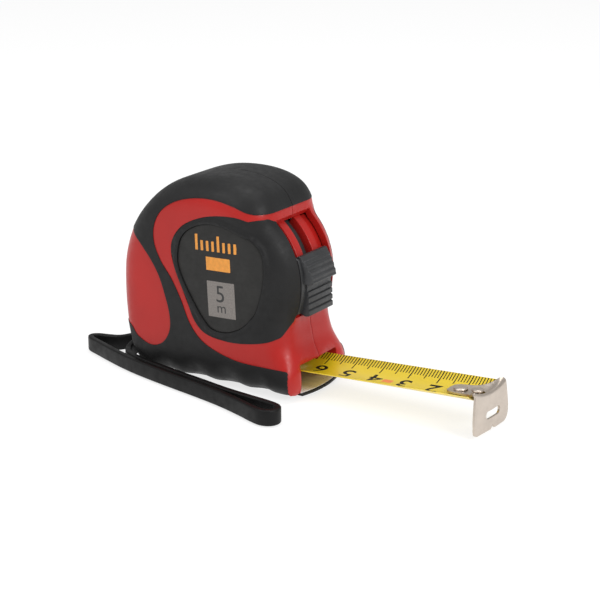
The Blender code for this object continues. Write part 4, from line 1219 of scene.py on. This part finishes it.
def make_lock(looks):
    """The thumb slider: a hooded upper half over a lower step, both ribbed across."""
    lower = [polar(24.3, -23.2), polar(27.0, -23.3)]
    for rib in (-19.8, -15.6, -11.4, -7.2):
        for turn, out in ((-2.0, -0.05), (-1.7, 0.1), (0.9, 0.12), (1.2, -0.05), (1.3, -0.35), (1.9, -0.35)):
            lower.append(polar((26.25 + out) / math.cos(math.radians(rib + turn)), rib + turn))
    lower += [polar(26.1, -3.0), polar(26.0, 0.5), polar(24.6, 0.5), polar(24.6, -23.2)]
    hood = [polar(27.0, -0.6), polar(28.2, -0.3), polar(28.5, 0.5)]
    for rib, crest in ((3.2, 28.3), (6.8, 27.85), (10.4, 27.35), (14.0, 26.75)):
        for turn, out in ((-1.3, 0.1), (-0.9, 0.0), (0.8, 0.1), (1.1, 0.42), (1.5, 0.5)):
            hood.append(polar(crest - out, rib + turn))
    hood += [polar(26.2, 17.2), polar(25.9, 18.6), polar(25.3, 19.3), polar(24.3, 19.3), polar(25.0, 10.0),
             polar(25.0, 0.0), polar(25.4, -0.6)]
    base = [polar(25.1, -23.2)] + [polar(25.5, d) for d in np.linspace(-22.6, 17.0, 16)]
    base += [polar(24.3, d) for d in np.linspace(19.3, -23.2, 24)]
    pieces = [prism("lock_base", base, -8.4, 8.0, looks["lock"], 0.25),
              prism("lock_step", lower, -6.3, 7.1, looks["lock"], 0.16)]
    # The hood narrows outwards.
    points = [(x, side * (7.5 - 0.32 * max(0.0, math.dist((x, z), LOCK_AXIS) - 25.4)), z)
              for side in (-1.0, 1.0) for x, z in hood]
    pieces.append(solid("lock_hood", points, prism_faces(len(hood)), looks["lock"], 0.2))
    finish_piece(join("lock_slider", pieces), 32.0, "lock", "black_plastic", "thumb_lock")


# ---------------------------------------------------------------- the strap

def make_strap(looks):
    """A flat vinyl band on edge, with softly rounded edges, along its own route."""
    start = ORIGIN / MM
    line = spline([tuple(Vector((x + start.x, y + start.y, z))) for x, y, z in STRAP_ROUTE], 0.8)
    half_w, half_h, corner = STRAP_THICKNESS / 2, STRAP_HEIGHT / 2, 0.55
    section = []
    for cx, cz, first in ((1, 1, 0), (-1, 1, 90), (-1, -1, 180), (1, -1, 270)):
        for n in range(5):
            angle = math.radians(first + 90 * n / 4)
            section.append((cx * (half_w - corner) + corner * math.cos(angle),
                            cz * (half_h - corner) + corner * math.sin(angle)))
    points = []
    for n in range(len(line)):
        along = line[min(n + 1, len(line) - 1)] - line[max(n - 1, 0)]
        along = Vector((along[0], along[1], 0.0)).normalized()
        side = Vector((-along.y, along.x, 0.0))
        points += [Vector(line[n]) + side * across + Vector((0.0, 0.0, up)) for across, up in section]
    count = len(section)
    faces = sheet_faces(len(line), count, True)
    faces += [tuple(range(count)), tuple(range(len(points) - 1, len(points) - count - 1, -1))]
    strap = solid("strap_band", points, faces, looks["vinyl"], place=Matrix.Scale(MM, 4))
    sharpen(strap, 40.0)
    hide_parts("wrist_strap")
    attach(strap, "case")


# ---------------------------------------------------------------- clip, screws and what shows inside

def make_screw(name, x, z, head_y, looks, node):
    """A pan head with a cross recess."""
    profile = [(0.0, -6.0), (1.2, -6.0), (1.2, 0.0), (2.25, 0.0), (2.3, 0.15), (2.3, 0.75)]
    for n in range(1, 7):
        angle = math.radians(90 * n / 6)
        profile.append((2.3 - 1.5 * (1 - math.cos(angle)), 0.75 + 0.75 * math.sin(angle)))
    profile += [(0.55, 1.5), (0.35, 0.8), (0.0, 0.7)]
    screw = lathe(name, profile, (x, head_y, z), (0, 1, 0), looks["steel"], 32)
    sharpen(screw, 40.0)
    for wide, tall in ((1.15, 0.22), (0.22, 1.15)):
        corners = [(x + sx * wide, head_y + 1.25 + sy * 0.6, z + sz * tall)
                   for sx in (-1, 1) for sy in (-1, 1) for sz in (-1, 1)]
        faces = [(0, 1, 3, 2), (4, 5, 7, 6), (0, 1, 5, 4), (2, 3, 7, 6), (0, 2, 6, 4), (1, 3, 7, 5)]
        cutter = solid(f"{name}_cut", corners, faces, looks["steel"])
        screw.modifiers.new("cut", "BOOLEAN").object = cutter
        apply_modifiers(screw)
        bpy.data.objects.remove(cutter)
    finish_piece(screw, 35.0, "case", "steel", node)


def sheet_faces(rows, count, closed=False):
    """Faces between rows of count points each, closed round each row or not."""
    last = count if closed else count - 1
    pairs = [(row * count + n, row * count + (n + 1) % count) for row in range(rows - 1) for n in range(last)]
    return [(a, b, b + count, a + count) for a, b in pairs]


def make_clip(looks):
    """A springy sheet: flat where it is screwed on, bent out, then down to a turned-out tip."""
    path = spline(CLIP_PATH, 0.7)
    run = np.concatenate([[0.0], np.cumsum(norms(np.diff(path, axis=0)))])
    near_end = np.minimum(run, run[-1] - run)
    inset = CLIP_CORNER * (1.0 - np.sqrt(1.0 - np.clip(1.0 - near_end / CLIP_CORNER, 0.0, 1.0) ** 2))
    shares = np.linspace(-1.0, 1.0, 25)
    points = [(CLIP_X + (CLIP_HALF_WIDTH - inward) * share, y, z)
              for (y, z), inward in zip(path, inset) for share in shares]
    clip = new_piece("belt_clip_sheet", points, sheet_faces(len(path), len(shares)), [looks["nickel"]])
    thicken(clip, CLIP_THICKNESS, 0.0)
    round_edges(clip, 0.2, 3, 60.0)
    finish_piece(apply_modifiers(clip), 45.0, "case", "nickel", "belt_clip")


def dress_nodes(looks):
    """Better materials for the CAD nodes that stay."""
    for node, look in (("brake_arm", "track"), ("spindle", "steel"), ("reel", "white"),
                       ("reel_cover", "white"), ("blade_coil", "yellow"), ("power_spring", "steel"),
                       ("strap_pin", "steel")):
        materials = frame["nodes"][node].data.materials
        materials.clear()
        materials.append(looks[look])


def build():
    looks = make_materials()
    set_stage()
    set_camera()
    make_strap(looks)
    make_case(looks)
    make_wear_plate(looks)
    make_blade(looks)
    make_hook(looks)
    make_rivets(looks)
    make_lock(looks)
    for number, (x, z) in enumerate(SCREWS, 1):
        make_screw(f"screw_{number}", x, z, SCREW_HEAD_Y, looks, f"case_screw_{number}")
    make_screw("screw_of_clip", *CLIP_SCREW, CLIP_SCREW_Y, looks, "clip_screw")
    make_clip(looks)
    dress_nodes(looks)


build()
bpy.context.view_layer.update()
